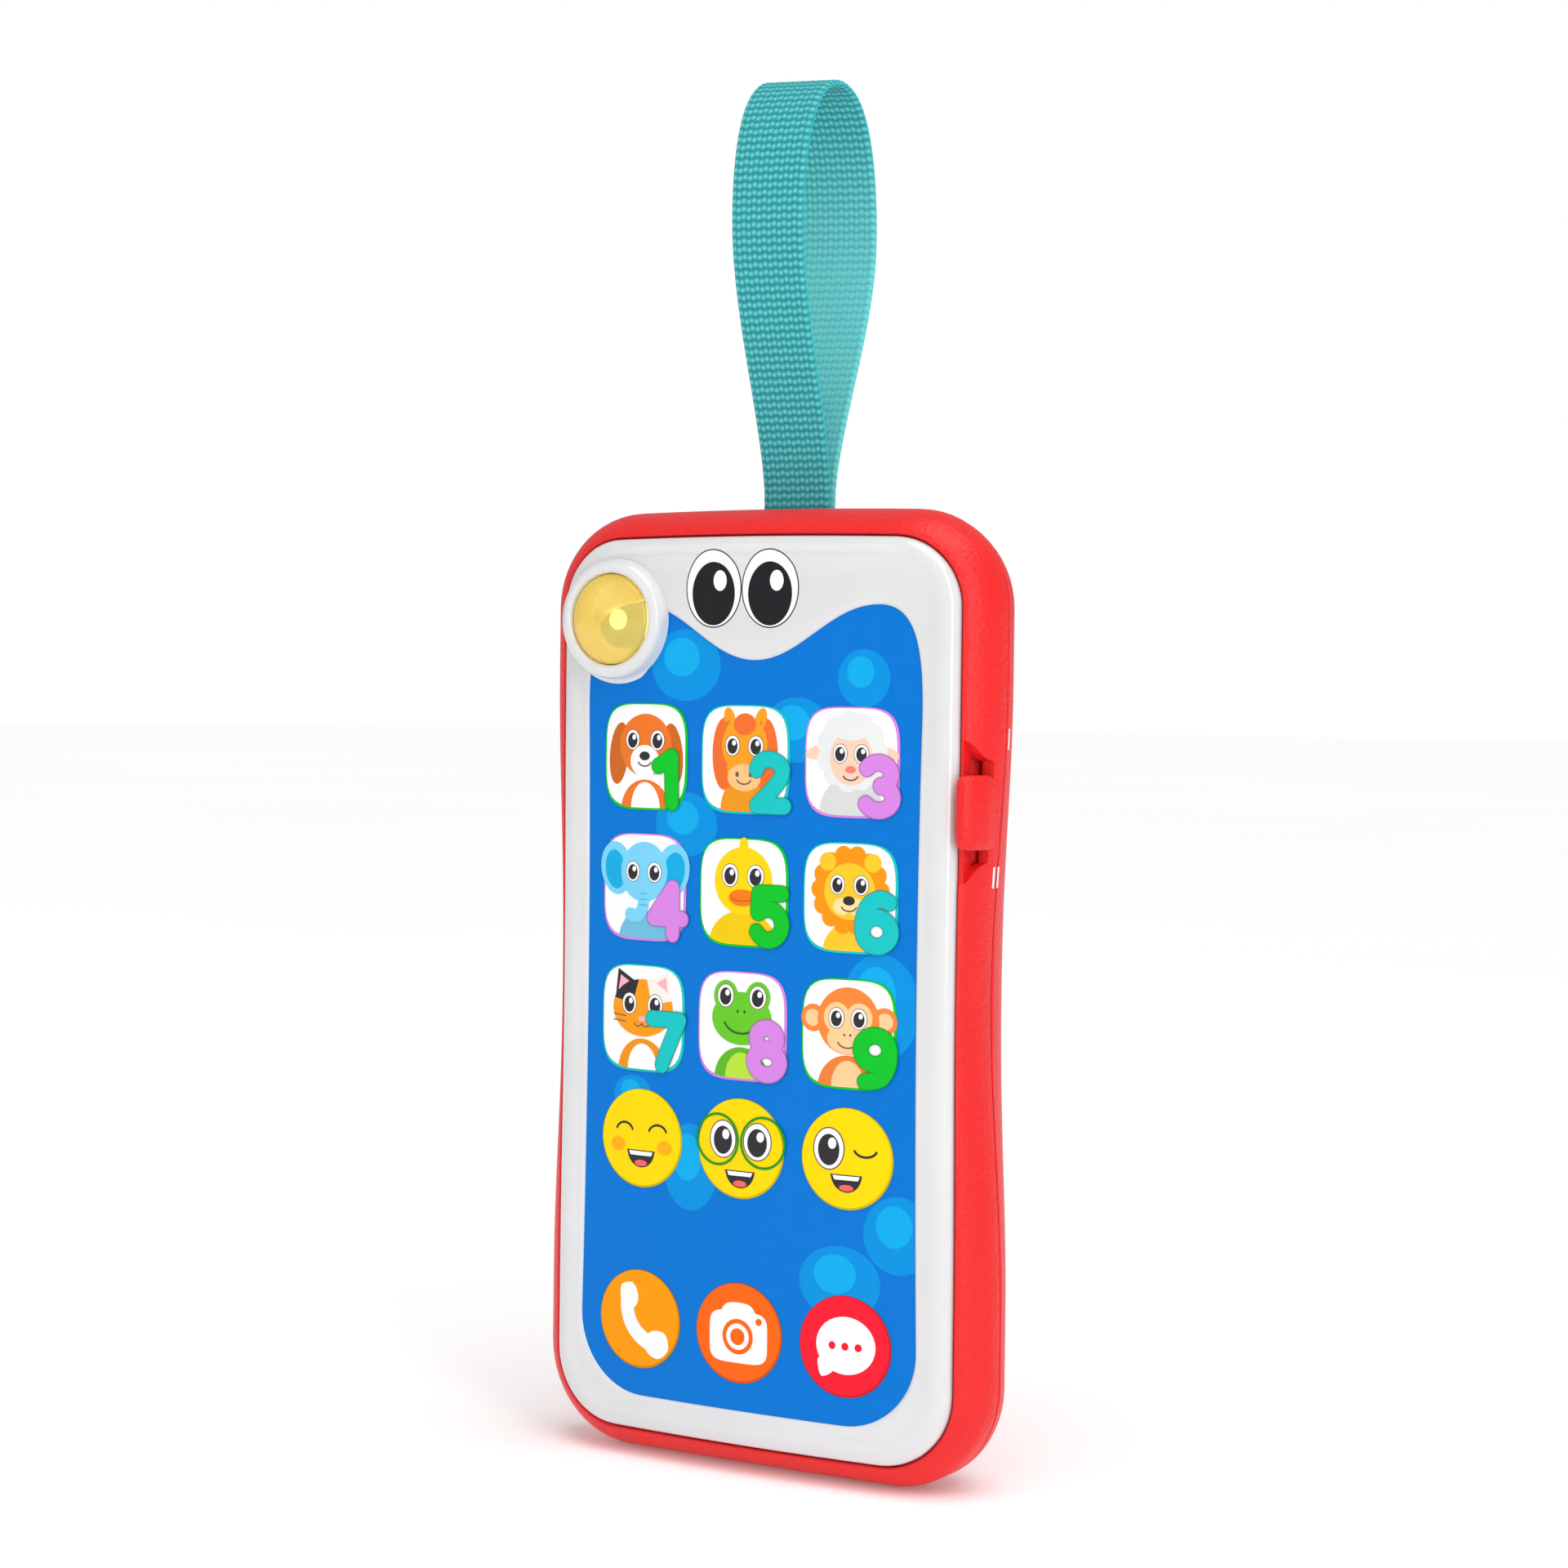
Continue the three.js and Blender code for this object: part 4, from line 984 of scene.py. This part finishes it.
def draw_sheep(t):
    wool, skin = (232, 234, 234), (254, 208, 184)
    t.add_inside(3, tone(wool, 0.93), ellipse(0, -7.6, 5.4, 5.4))
    t.add(4, skin, *pair(ellipse(5.9, 1.4, 2.0, 1.0, -14)))
    t.add(5, wool, ellipse(0, 1.6, 4.8, 4.9), *ring_of(11, 4.1, 4.3, 1.6, 1.9))
    t.add(6, skin, ellipse(0, 0.6, 3.6, 4.1))
    t.add(7, wool, ellipse(0, 4.6, 2.8, 1.3))
    t.eyes(7, 1.8, 1.3, 0.78)
    t.add(8, (244, 130, 116), ellipse(0, -1.1, 0.9, 0.55))
    t.smile(8, -1.8)


def draw_elephant(t):
    blue = (124, 210, 244)
    t.add_inside(3, tone(blue, 0.9), ellipse(0, -8.6, 5.0, 5.0))
    t.add(4, blue, *pair(ellipse(5.5, 2.8, 3.1, 4.2, -10)))
    t.add(5, (20, 172, 226), *pair(ellipse(5.7, 2.6, 2.0, 3.1, -10)))
    t.add(6, blue, ellipse(0, 2.4, 4.5, 4.7))
    t.line(7, blue, rounded([(0, 0), (0, -2.6), (-0.9, -4.4), (-2.6, -4.4)], False), 2.1)
    for z in (-1.0, -1.9, -2.8):
        t.line(8, (60, 180, 226), [(-0.7, z), (0.7, z)], 0.16)
    t.eyes(7, 2.1, 2.4)


def draw_duck(t):
    yellow, orange = (255, 214, 14), (246, 124, 26)
    t.add_inside(3, tone(yellow, 0.95), ellipse(0, -8.0, 6.2, 5.2))
    t.add(5, yellow, ellipse(0, 1.8, 5.2, 5.2), ellipse(0, 7.3, 0.8, 1.2))
    t.eyes(6, 2.3, 2.6, 0.95)
    t.add(7, orange, ellipse(0, -0.8, 2.5, 1.3))
    t.line(8, tone(orange, 0.85), arc(0, -0.7, 2.0, 0.6, 200, 340, 10), 0.24)


def draw_lion(t):
    mane, gold, light = (255, 150, 18), (255, 200, 44), (255, 224, 160)
    t.add_inside(3, gold, ellipse(0, -8.4, 4.6, 4.6))
    t.add(4, mane, ellipse(0, 1.2, 5.6, 5.8), *ring_of(14, 5.1, 5.3, 1.2, 1.5))
    t.add(5, gold, *pair(ellipse(3.8, 5.4, 1.4)))
    t.add(6, gold, ellipse(0, 1.0, 4.3, 4.3))
    t.add(7, light, *pair(ellipse(1.2, -1.3, 1.5, 1.3)))
    t.eyes(7, 2.0, 2.0, 0.8)
    t.muzzle(8, -0.4)


def draw_cat(t):
    ginger, rose, pale = (250, 156, 24), (250, 176, 188), (246, 238, 232)
    ear = [(5.4, 2.6), (4.9, 7.6), (1.6, 5.8)]
    t.add_inside(3, tone(ginger, 0.95), ellipse(0, -8.4, 4.8, 5.2))
    t.add_inside(4, WHITE_INK, ellipse(0, -8.2, 2.9, 4.2))
    t.add(4, BLACK_INK, [(-x, z) for x, z in ear])
    t.add(4, pale, ear)
    t.add(5, rose, *pair([(4.8, 4.2), (4.4, 6.6), (2.7, 5.7)]))
    t.add(6, ginger, ellipse(0, 1.6, 5.8, 4.5))
    t.add(6.4, BLACK_INK, arc(0, 1.6, 5.8, 4.5, 98, 162) + [(-3.6, 2.6), (-1.5, 3.5)])
    t.add(6.4, pale, arc(0, 1.6, 5.8, 4.5, 82, 18) + [(3.6, 2.6), (1.5, 3.5)])
    t.eyes(7, 2.5, 2.2, 0.9)
    t.add(7, rose, ellipse(0, -0.1, 0.7, 0.45))
    for side in (-1, 1):
        t.line(7, LINE_INK, arc(0.75 * side, -0.7, 0.75, 0.6, 190, 350, 8), 0.2)
        for z in (0.2, -0.7):
            t.line(7, LINE_INK, [(3.2 * side, z), (5.6 * side, z + 0.2)], 0.18)


def draw_frog(t):
    green, dark, light = (104, 200, 44), (40, 110, 36), (184, 226, 64)
    t.add_inside(3, tone(green, 0.92), ellipse(0, -8.4, 5.0, 5.2))
    t.add_inside(4, light, ellipse(0, -8.2, 3.0, 4.2))
    t.add(5, green, *pair(ellipse(2.9, 4.6, 2.2, 2.4)), ellipse(0, 1.2, 5.4, 4.1))
    t.eyes(6, 2.9, 4.6, 0.95)
    t.add(6, dark, *pair(ellipse(0.6, 2.3, 0.2, 0.28)))
    t.line(6, dark, arc(0, 1.3, 3.2, 2.4, 200, 340, 16), 0.34)


def draw_monkey(t):
    fur, skin = (250, 136, 60), (254, 206, 150)
    t.add_inside(3, tone(fur, 0.95), ellipse(0, -8.4, 5.2, 5.2))
    t.add_inside(4, skin, ellipse(0, -8.2, 2.9, 4.2))
    t.add(4, fur, *pair(ellipse(6.0, 2.2, 2.1)))
    t.add(5, skin, *pair(ellipse(6.1, 2.2, 1.3)))
    t.add(6, fur, ellipse(0, 2.0, 5.2, 5.1))
    t.add(7, skin, *pair(ellipse(1.9, 2.5, 2.2, 2.3)), ellipse(0, -0.7, 3.5, 2.3))
    t.eyes(8, 1.9, 2.4)
    t.add(8, LINE_INK, *pair(ellipse(0.5, -0.1, 0.2)))
    t.smile(8, -0.9, 1.7)


def draw_arched_eyes(t):
    for side in (-1, 1):
        t.line(5, BLACK_INK, arc(3.2 * side, 0.8, 1.7, 1.5, 20, 160, 12), 0.34)
    t.add(5, (255, 176, 20), *pair(ellipse(4.5, -1.2, 1.4, 1.1)))
    t.laugh(5, -1.9)


def draw_glasses(t):
    green = (20, 150, 40)
    t.eyes(4, 3.1, 1.3, 1.55)
    for side in (-1, 1):
        t.line(9, green, arc(4.1 * side, 1.2, 3.8, 3.9, 0, 360, 36), 0.38)
    t.laugh(5, -3.4)


def draw_wink(t):
    t.eye(4, -3.0, 1.4, 1.7)
    t.line(5, BLACK_INK, arc(3.2, 1.8, 1.9, 1.3, 200, 340, 12), 0.36)
    t.laugh(5, -2.4)


def draw_handset(t):
    handle = rounded([(-1.9, 4.4), (-2.3, 1.6), (-1.2, -1.2), (1.2, -3.2), (4.0, -3.9)], False)
    t.line(4, WHITE_INK, handle, 2.6)
    t.add(4, WHITE_INK, rounded([(-3.6, 5.0), (-1.2, 5.4), (-0.2, 3.4), (-1.0, 1.7), (-3.3, 1.9)]),
          rounded([(1.3, -3.2), (2.5, -1.6), (4.9, -1.8), (5.5, -4.3), (3.6, -5.9), (1.5, -5.0)]))


def draw_camera(t):
    hump = rounded([(-2.8, 2.4), (-2.0, 4.5), (2.0, 4.5), (2.8, 2.4)])
    t.add(4, WHITE_INK, superellipse(0, -0.6, 5.2, 4.0, 5), hump)
    t.add(5, t.ground, ellipse(0, -0.5, 2.75), ellipse(3.7, 2.1, 0.55), holes=[ellipse(0, -0.5, 2.05)])
    t.add(5, t.ground, ellipse(0, -0.5, 1.3))


def draw_message(t):
    tail = rounded([(-4.4, -2.0), (-3.9, -4.8), (-1.6, -3.4)], per=5)
    t.add(4, WHITE_INK, ellipse(0.2, 0.2, 5.0, 4.4), tail)
    t.add(5, t.ground, *[ellipse(x, 0.1, 0.6) for x in (-2.0, 0.2, 2.4)])


ANIMALS = [draw_dog, draw_horse, draw_sheep, draw_elephant, draw_duck, draw_lion, draw_cat, draw_frog,
           draw_monkey]
FACES = [("key_laugh", draw_arched_eyes), ("key_glasses", draw_glasses), ("key_wink", draw_wink)]
CALLS = [("key_call", draw_handset, (255, 156, 4)), ("key_camera", draw_camera, (255, 104, 18)),
         ("key_message", draw_message, (246, 30, 50))]


def number_keys():
    rx, rz, power = SQUARE_KEY
    for i, (draw, colour) in enumerate(zip(ANIMALS, KEY_COLOURS)):
        tile = Tile(f"key_{i + 1}", COLUMNS[i % 3], ANIMAL_ROWS[i // 3], SQUARE_KEY, colour)
        tile.add(1, colour, superellipse(0, 0, rx, rz, power))
        tile.add(2, WHITE_INK, superellipse(-0.12, 0.12, rx - 0.36, rz - 0.36, power))
        draw(tile)
        lines = moved(digit_lines(i + 1), 4.6, -3.5)
        for level, factor, width in ((12, 0.78, 2.7), (13, 1, 2.4)):
            tile.add(level, tone(colour, factor), *[f for line in lines for f in stroke(line, width)])
        tile.finish()


def round_keys():
    faces = [(key, draw, YELLOW) for key, draw in FACES]
    for row, keys in ((FACE_ROW, faces), (CALL_ROW, CALLS)):
        for column, (key, draw, ground) in zip(COLUMNS, keys):
            tile = Tile(key, column, row, ROUND_KEY, ground)
            tile.add(1, tone(ground, 0.82), ellipse(0, 0, ROUND_KEY[0], steps=64))
            tile.add(2, ground, ellipse(-0.1, 0.1, ROUND_KEY[0] - 0.22, steps=64))
            draw(tile)
            tile.finish()


def nose_eyes():
    """A pair of plain oval eyes on the bezel's nose."""
    eyes = Print(bezel_front)
    for x in (-5.9, 4.3):
        eyes.add(1, BLACK_INK, [ellipse(x, 136.4, 5.1, 6.1, steps=48)])
        eyes.add(2, (246, 246, 247), [ellipse(x, 136.4, 4.9, 5.9, steps=48)])
        eyes.add(3, (34, 32, 36), [ellipse(x, 135.6, 3.9, 4.9, steps=48)])
        eyes.add(4, WHITE_INK, [ellipse(x + 1.2, 137.6, 1.2, 1.6)])
    eyes.piece("nose_eyes", "bezel_white")


# ---------------------------------------------------------------- slide knob
def slide_knob():
    """The knob's section at its middle height, drawn in towards its own middle at both ends."""
    section = rounded([
        (36.0, -6.6), (36.0, -8.2), (36.8, -9.0), (37.9, -8.6), (39.0, -7.2), (39.7, -5.2),
        (39.8, -3.3), (39.7, -2.6), (39.1, -2.7), (38.3, -3.6), (37.4, -5.0), (36.6, -6.5)
    ], True, 5)
    middle = Vector(np.array(section).mean(axis=0))
    levels = [(5.6, 2.0), (5.5, 1.3), (5.2, 0.7), (4.7, 0.28), (3.9, 0.04), (0, 0)]  # height, inset
    levels += [(-z, inset) for z, inset in reversed(levels[:-1])]
    rings = []
    for z, inset in levels:
        ring = []
        for point in map(Vector, section):
            away = point - middle
            x, y = point - away * min(1, inset / away.length) * 0.8
            ring.append((x, y, SWITCH_Z + z))
        rings.append(ring)
    make_piece("knob_cap", *loft(rings), [RED], "slide_knob", "casing_red", ["slide_knob"])


def knob_arm():
    """The knob's arm and the stem that reaches in to the switch."""
    low, high = node_box("slide_knob")
    stem = low.x + 2.3
    section = [(low.x, -3.9), (39, -3.9), (39, -2.7), (stem, -2.7), (stem, high.y), (low.x, high.y)]
    rings = [[(x, y, SWITCH_Z + z) for x, y in section] for z in (2.2, -2.2)]
    arm = make_piece("knob_arm", *loft(rings), [RED], "slide_knob", "casing_red")
    soften_edges(arm, 0.15)


def side_marks():
    """White printed bars beside the switch: one over it and two under it."""
    marks = {"side_mark_one": [(1.6, 113.9)], "side_mark_two": [(-0.5, 93.1), (0.9, 93.1)]}
    rows = 8
    for name, bars in marks.items():
        points, faces = [], []
        for y0, z0 in bars:
            start = len(points)
            for i in range(rows + 1):
                z = z0 - 1.6 + 3.2 * i / rows
                for y in (y0 - 0.27, y0, y0 + 0.27):
                    points.append((side_surface(y, z) + 0.02, y, z))
            for i in range(rows):
                for j in range(2):
                    a = start + i * 3 + j
                    faces.append((a, a + 1, a + 4, a + 3))
        piece = make_piece(name, points, faces, [ink(WHITE_INK)], "casing", "bezel_white")
        thick = piece.modifiers.new("ink", "SOLIDIFY")
        thick.thickness = 0.05 * MM
        thick.offset = 0


def side_surface(y, z):
    """The right side's X at a depth and height."""
    if y <= 0:
        inset = SIDE_RADIUS - math.sqrt(SIDE_RADIUS ** 2 - y * y)
    else:
        inset = REAR_INSET * (1 - math.sqrt(1 - (y / BACK_Y) ** 2))
    return HALF_WIDTH - inset - waist(z, inset)


# ---------------------------------------------------------------- strap
def strap_path():
    """The webbing's middle line as (y, z): up the front limb, over and down the back limb."""
    front, back = (STRAP_Y - 10.6, STRAP_BULGE_Z), (STRAP_Y + 11.7, STRAP_BULGE_Z)
    crest = (STRAP_Y + 0.7, STRAP_CREST_Z)
    front_root, back_root = STRAP_Y - 0.72, STRAP_Y + 0.72
    path = [(front_root, 138.6), (front_root, 146)]
    path += bezier((front_root, STRAP_ROOT_Z), (STRAP_Y - 2.4, 165.3), (front[0], 179.3), front, 40)
    path += bezier(front, (front[0], 205.3), (STRAP_Y - 7.5, STRAP_CREST_Z), crest, 24)
    path += bezier(crest, (STRAP_Y + 8.5, STRAP_CREST_Z), (back[0], 205.3), back, 24)
    path += bezier(back, (back[0], 179.3), (STRAP_Y + 2.4, 165.3), (back_root, STRAP_ROOT_Z), 40)
    path += [(back_root, STRAP_ROOT_Z), (back_root, 146), (back_root, 138.6)]
    return np.array(path)


def twist(share):
    """How far the webbing is turned about the upright at a share of its length, in radians."""
    stops, degrees = (0, 0.1, 0.3, 0.5, 0.7, 0.9, 1), (0, 1, 8, 14, 20, 2, 0)
    return math.radians(np.interp(share, stops, degrees))


def weave(u, v):
    """Height of the weave, 0 to 1, at u columns and v rows: upright stitches, pockets between the rows."""
    column = math.floor(u)
    fu, fv = u - column - 0.5, (v + 0.14 * (column % 2)) % 1 - 0.5
    return (0.1 + 0.9 * math.cos(math.pi * fv) ** 2) * (0.3 + 0.7 * math.cos(math.pi * fu) ** 0.8)


def slab_faces(rows, across):
    """Faces of a thin slab: a grid of points for one side, the same grid for the other, and four edges."""
    count = (rows + 1) * (across + 1)
    faces = []

    def join_edge(a, b):
        faces.append((a, b, count + b, count + a))

    for i in range(rows):
        start = i * (across + 1)
        for a in range(start, start + across):
            b = a + across + 1
            faces.append((a, a + 1, b + 1, b))
            faces.append((count + a, count + b, count + b + 1, count + a + 1))
        join_edge(start, start + across + 1)
        join_edge(start + 2 * across + 1, start + across)
    for j in range(across):
        join_edge(j + 1, j)
        join_edge(rows * (across + 1) + j, rows * (across + 1) + j + 1)
    return faces


def strap():
    """The strap as one woven sheet."""
    half_width, half_thick, relief_depth = 5.9, 0.42, 0.13
    columns, pitch, samples = 14, 1.22, 5
    path = strap_path()
    lengths = lengths_along(path)
    total = lengths[-1]
    rows = int(total / pitch * samples)
    across = columns * samples
    at = np.linspace(0, total, rows + 1)
    line = np.stack([np.interp(at, lengths, path[:, k]) for k in (0, 1)], axis=1)
    along = np.gradient(line, axis=0)
    along /= np.linalg.norm(along, axis=1)[:, None]
    outwards = np.stack([-along[:, 1], along[:, 0]], axis=1)
    points, painted_light_and_shade, flat = [], [], []
    for side in (1, -1):
        for i in range(rows + 1):
            turn = twist(at[i] / total)
            # Painted light: one face of the back limb is made paler from 0.55 of the length on, to undo the
            # shade that the front limb casts on it.
            inner_back_painted_light = 0.5 * np.interp(at[i] / total, (0.55, 0.7), (0, 1)) if side == -1 else 0
            for j in range(across + 1):
                u = j / samples
                h = weave(u, i / samples)
                edge = min(1, min(j, across - j) / 2)
                offset = half_thick * (0.45 + 0.55 * edge) + relief_depth * h * edge
                y, z = line[i] + side * outwards[i] * offset
                reach = -half_width + 2 * half_width * j / across
                points.append((reach * math.cos(turn), y + reach * math.sin(turn), z))
                # Painted shade and highlight: the colour follows the weave's height, plus a painted
                # lightening on the back limb's inner face.
                painted_light_and_shade.append(h + inner_back_painted_light)
                flat.append((u, at[i] / pitch))
    loop = make_piece("webbing_strap", points, slab_faces(rows, across), [WEBBING], None, "webbing_teal",
                      ["strap_loop", "strap_tail"], sharp=180)
    mesh = loop.data
    mesh.attributes.new("painted_light_and_shade", "FLOAT", "POINT").data.foreach_set("value", painted_light_and_shade)
    uv = mesh.uv_layers.new(name="flat")
    for corner in mesh.loops:
        uv.data[corner.index].uv = flat[corner.vertex_index]
    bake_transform(loop)


# ---------------------------------------------------------------- CAD nodes that stay shown
def dress_inner_parts():
    looks = {
        "key_guide": grained_plastic("cream_plastic", (232, 230, 220)),
        "switch_guide": RED,
        "torch_reflector": gloss_plastic("reflector_plastic", (240, 240, 240)),
        "torch_led": glowing_resin("led_resin"),
        "main_board": board("circuit_board"),
        "speaker_gasket": foam("gasket_foam", (44, 44, 48)),
    }
    looks["cell_1"] = looks["cell_2"] = gloss_plastic("cell_jacket", (63, 143, 77), 0.2)
    red_wire = gloss_plastic("red_insulation", (179, 32, 31), 0.35)
    black_wire = gloss_plastic("black_insulation", (30, 30, 32), 0.35)
    for end in ("battery", "speaker"):
        looks[f"{end}_wire_red"] = red_wire
        looks[f"{end}_wire_black"] = black_wire
    key_rubber = rubber("key_rubber", (216, 218, 222))
    black_plastic = grained_plastic("black_plastic", (28, 28, 30))
    steel = metal("plated_steel", (196, 198, 202), 0.25)
    black = ("sound_chip", "capacitor", "switch_actuator", "speaker", "battery_tray")
    for name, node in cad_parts.items():
        if node.hide_render:
            continue
        if name in looks:
            look = looks[name]
        elif name in black:
            look = black_plastic
        elif name.startswith("key_"):
            look = key_rubber
        else:
            look = steel
        smooth(node.data, 35)
        for slot in node.material_slots:
            slot.material = look


# ---------------------------------------------------------------- studio
def make_camera():
    """The photograph's viewpoint: from the right and nearly level, through a long lens."""
    data = bpy.data.cameras.new("camera")
    camera = add_object("camera", data)
    data.sensor_width = 36
    data.lens = 73.36
    data.shift_y = -0.04
    data.clip_end = 20
    turn = Euler([math.radians(a) for a in (90 - 0.94, 0, 30.97)]).to_matrix().to_4x4()
    camera.matrix_world = (Matrix.Translation((0.2578, -0.4276, 0.1241)) @ turn
                           @ Matrix.Rotation(math.radians(0.67), 4, "Z"))
    bpy.context.scene.camera = camera


def add_light(name, place, target, size, power):
    """A rectangular soft light that faces a target."""
    data = bpy.data.lights.new(name, "AREA")
    data.shape = "RECTANGLE"
    data.size, data.size_y = size
    data.energy = power
    light = add_object(name, data)
    look = (Vector(target) - Vector(place)).to_track_quat("-Z", "Y").to_matrix().to_4x4()
    light.matrix_world = Matrix.Translation(place) @ look


def add_sun(strength, elevation, azimuth):
    """A broad, soft sun that lights the whole floor evenly."""
    data = bpy.data.lights.new("sky_panel", "SUN")
    data.energy = strength
    data.angle = math.radians(50)
    sun = add_object("sky_panel", data)
    sun.rotation_euler = (math.radians(90 - elevation), 0, math.radians(azimuth))


def make_studio():
    bpy.context.scene.view_settings.view_transform = "Standard"
    rim = [(x, y, -0.5) for x, y in ellipse(0, 0, 6000, steps=64)]
    mesh = new_mesh("floor", rim, [tuple(range(64))])
    floor = add_object("floor", mesh)
    s = Surface("floor_paper", roughness=0.9, Specular_IOR_Level=0.1, Emission_Strength=0.12)
    s.mottle((252, 252, 252), 400, 0.004)
    s.set(Emission_Color=(1, 1, 1, 1))
    mesh.materials.append(s.material)
    make_sky(1.0, 0.44)
    middle = (0, 0, 0.09)
    add_sun(1.5, 72, 60)
    add_light("key_light", (-0.5, -0.8, 0.5), middle, (0.6, 0.6), 1.0)
    add_light("side_light", (0.7, -0.5, 0.35), middle, (0.2, 0.9), 2.6)


def make_sky(seen, given):
    """A white surround: as bright as seen in the picture, giving as much light as given."""
    world = bpy.data.worlds.new("studio")
    bpy.context.scene.world = world
    world.use_nodes = True
    tree = world.node_tree
    lamp = tree.nodes["Background"]
    paper = tree.nodes.new("ShaderNodeBackground")
    for node, strength in ((lamp, given), (paper, seen)):
        node.inputs["Color"].default_value = (1, 1, 1, 1)
        node.inputs["Strength"].default_value = strength
    mix = tree.nodes.new("ShaderNodeMixShader")
    path = tree.nodes.new("ShaderNodeLightPath")
    tree.links.new(path.outputs["Is Camera Ray"], mix.inputs["Fac"])
    tree.links.new(lamp.outputs["Background"], mix.inputs[1])
    tree.links.new(paper.outputs["Background"], mix.inputs[2])
    tree.links.new(mix.outputs["Shader"], tree.nodes["World Output"].inputs["Surface"])


make_camera()
make_studio()
front_shell()
rear_shell()
screw_wells()
door_panel()
face_plate()
lens_ring()
torch_dome()
film_sheet()
film_bubbles()
number_keys()
round_keys()
nose_eyes()
slide_knob()
knob_arm()
side_marks()
strap()
dress_inner_parts()
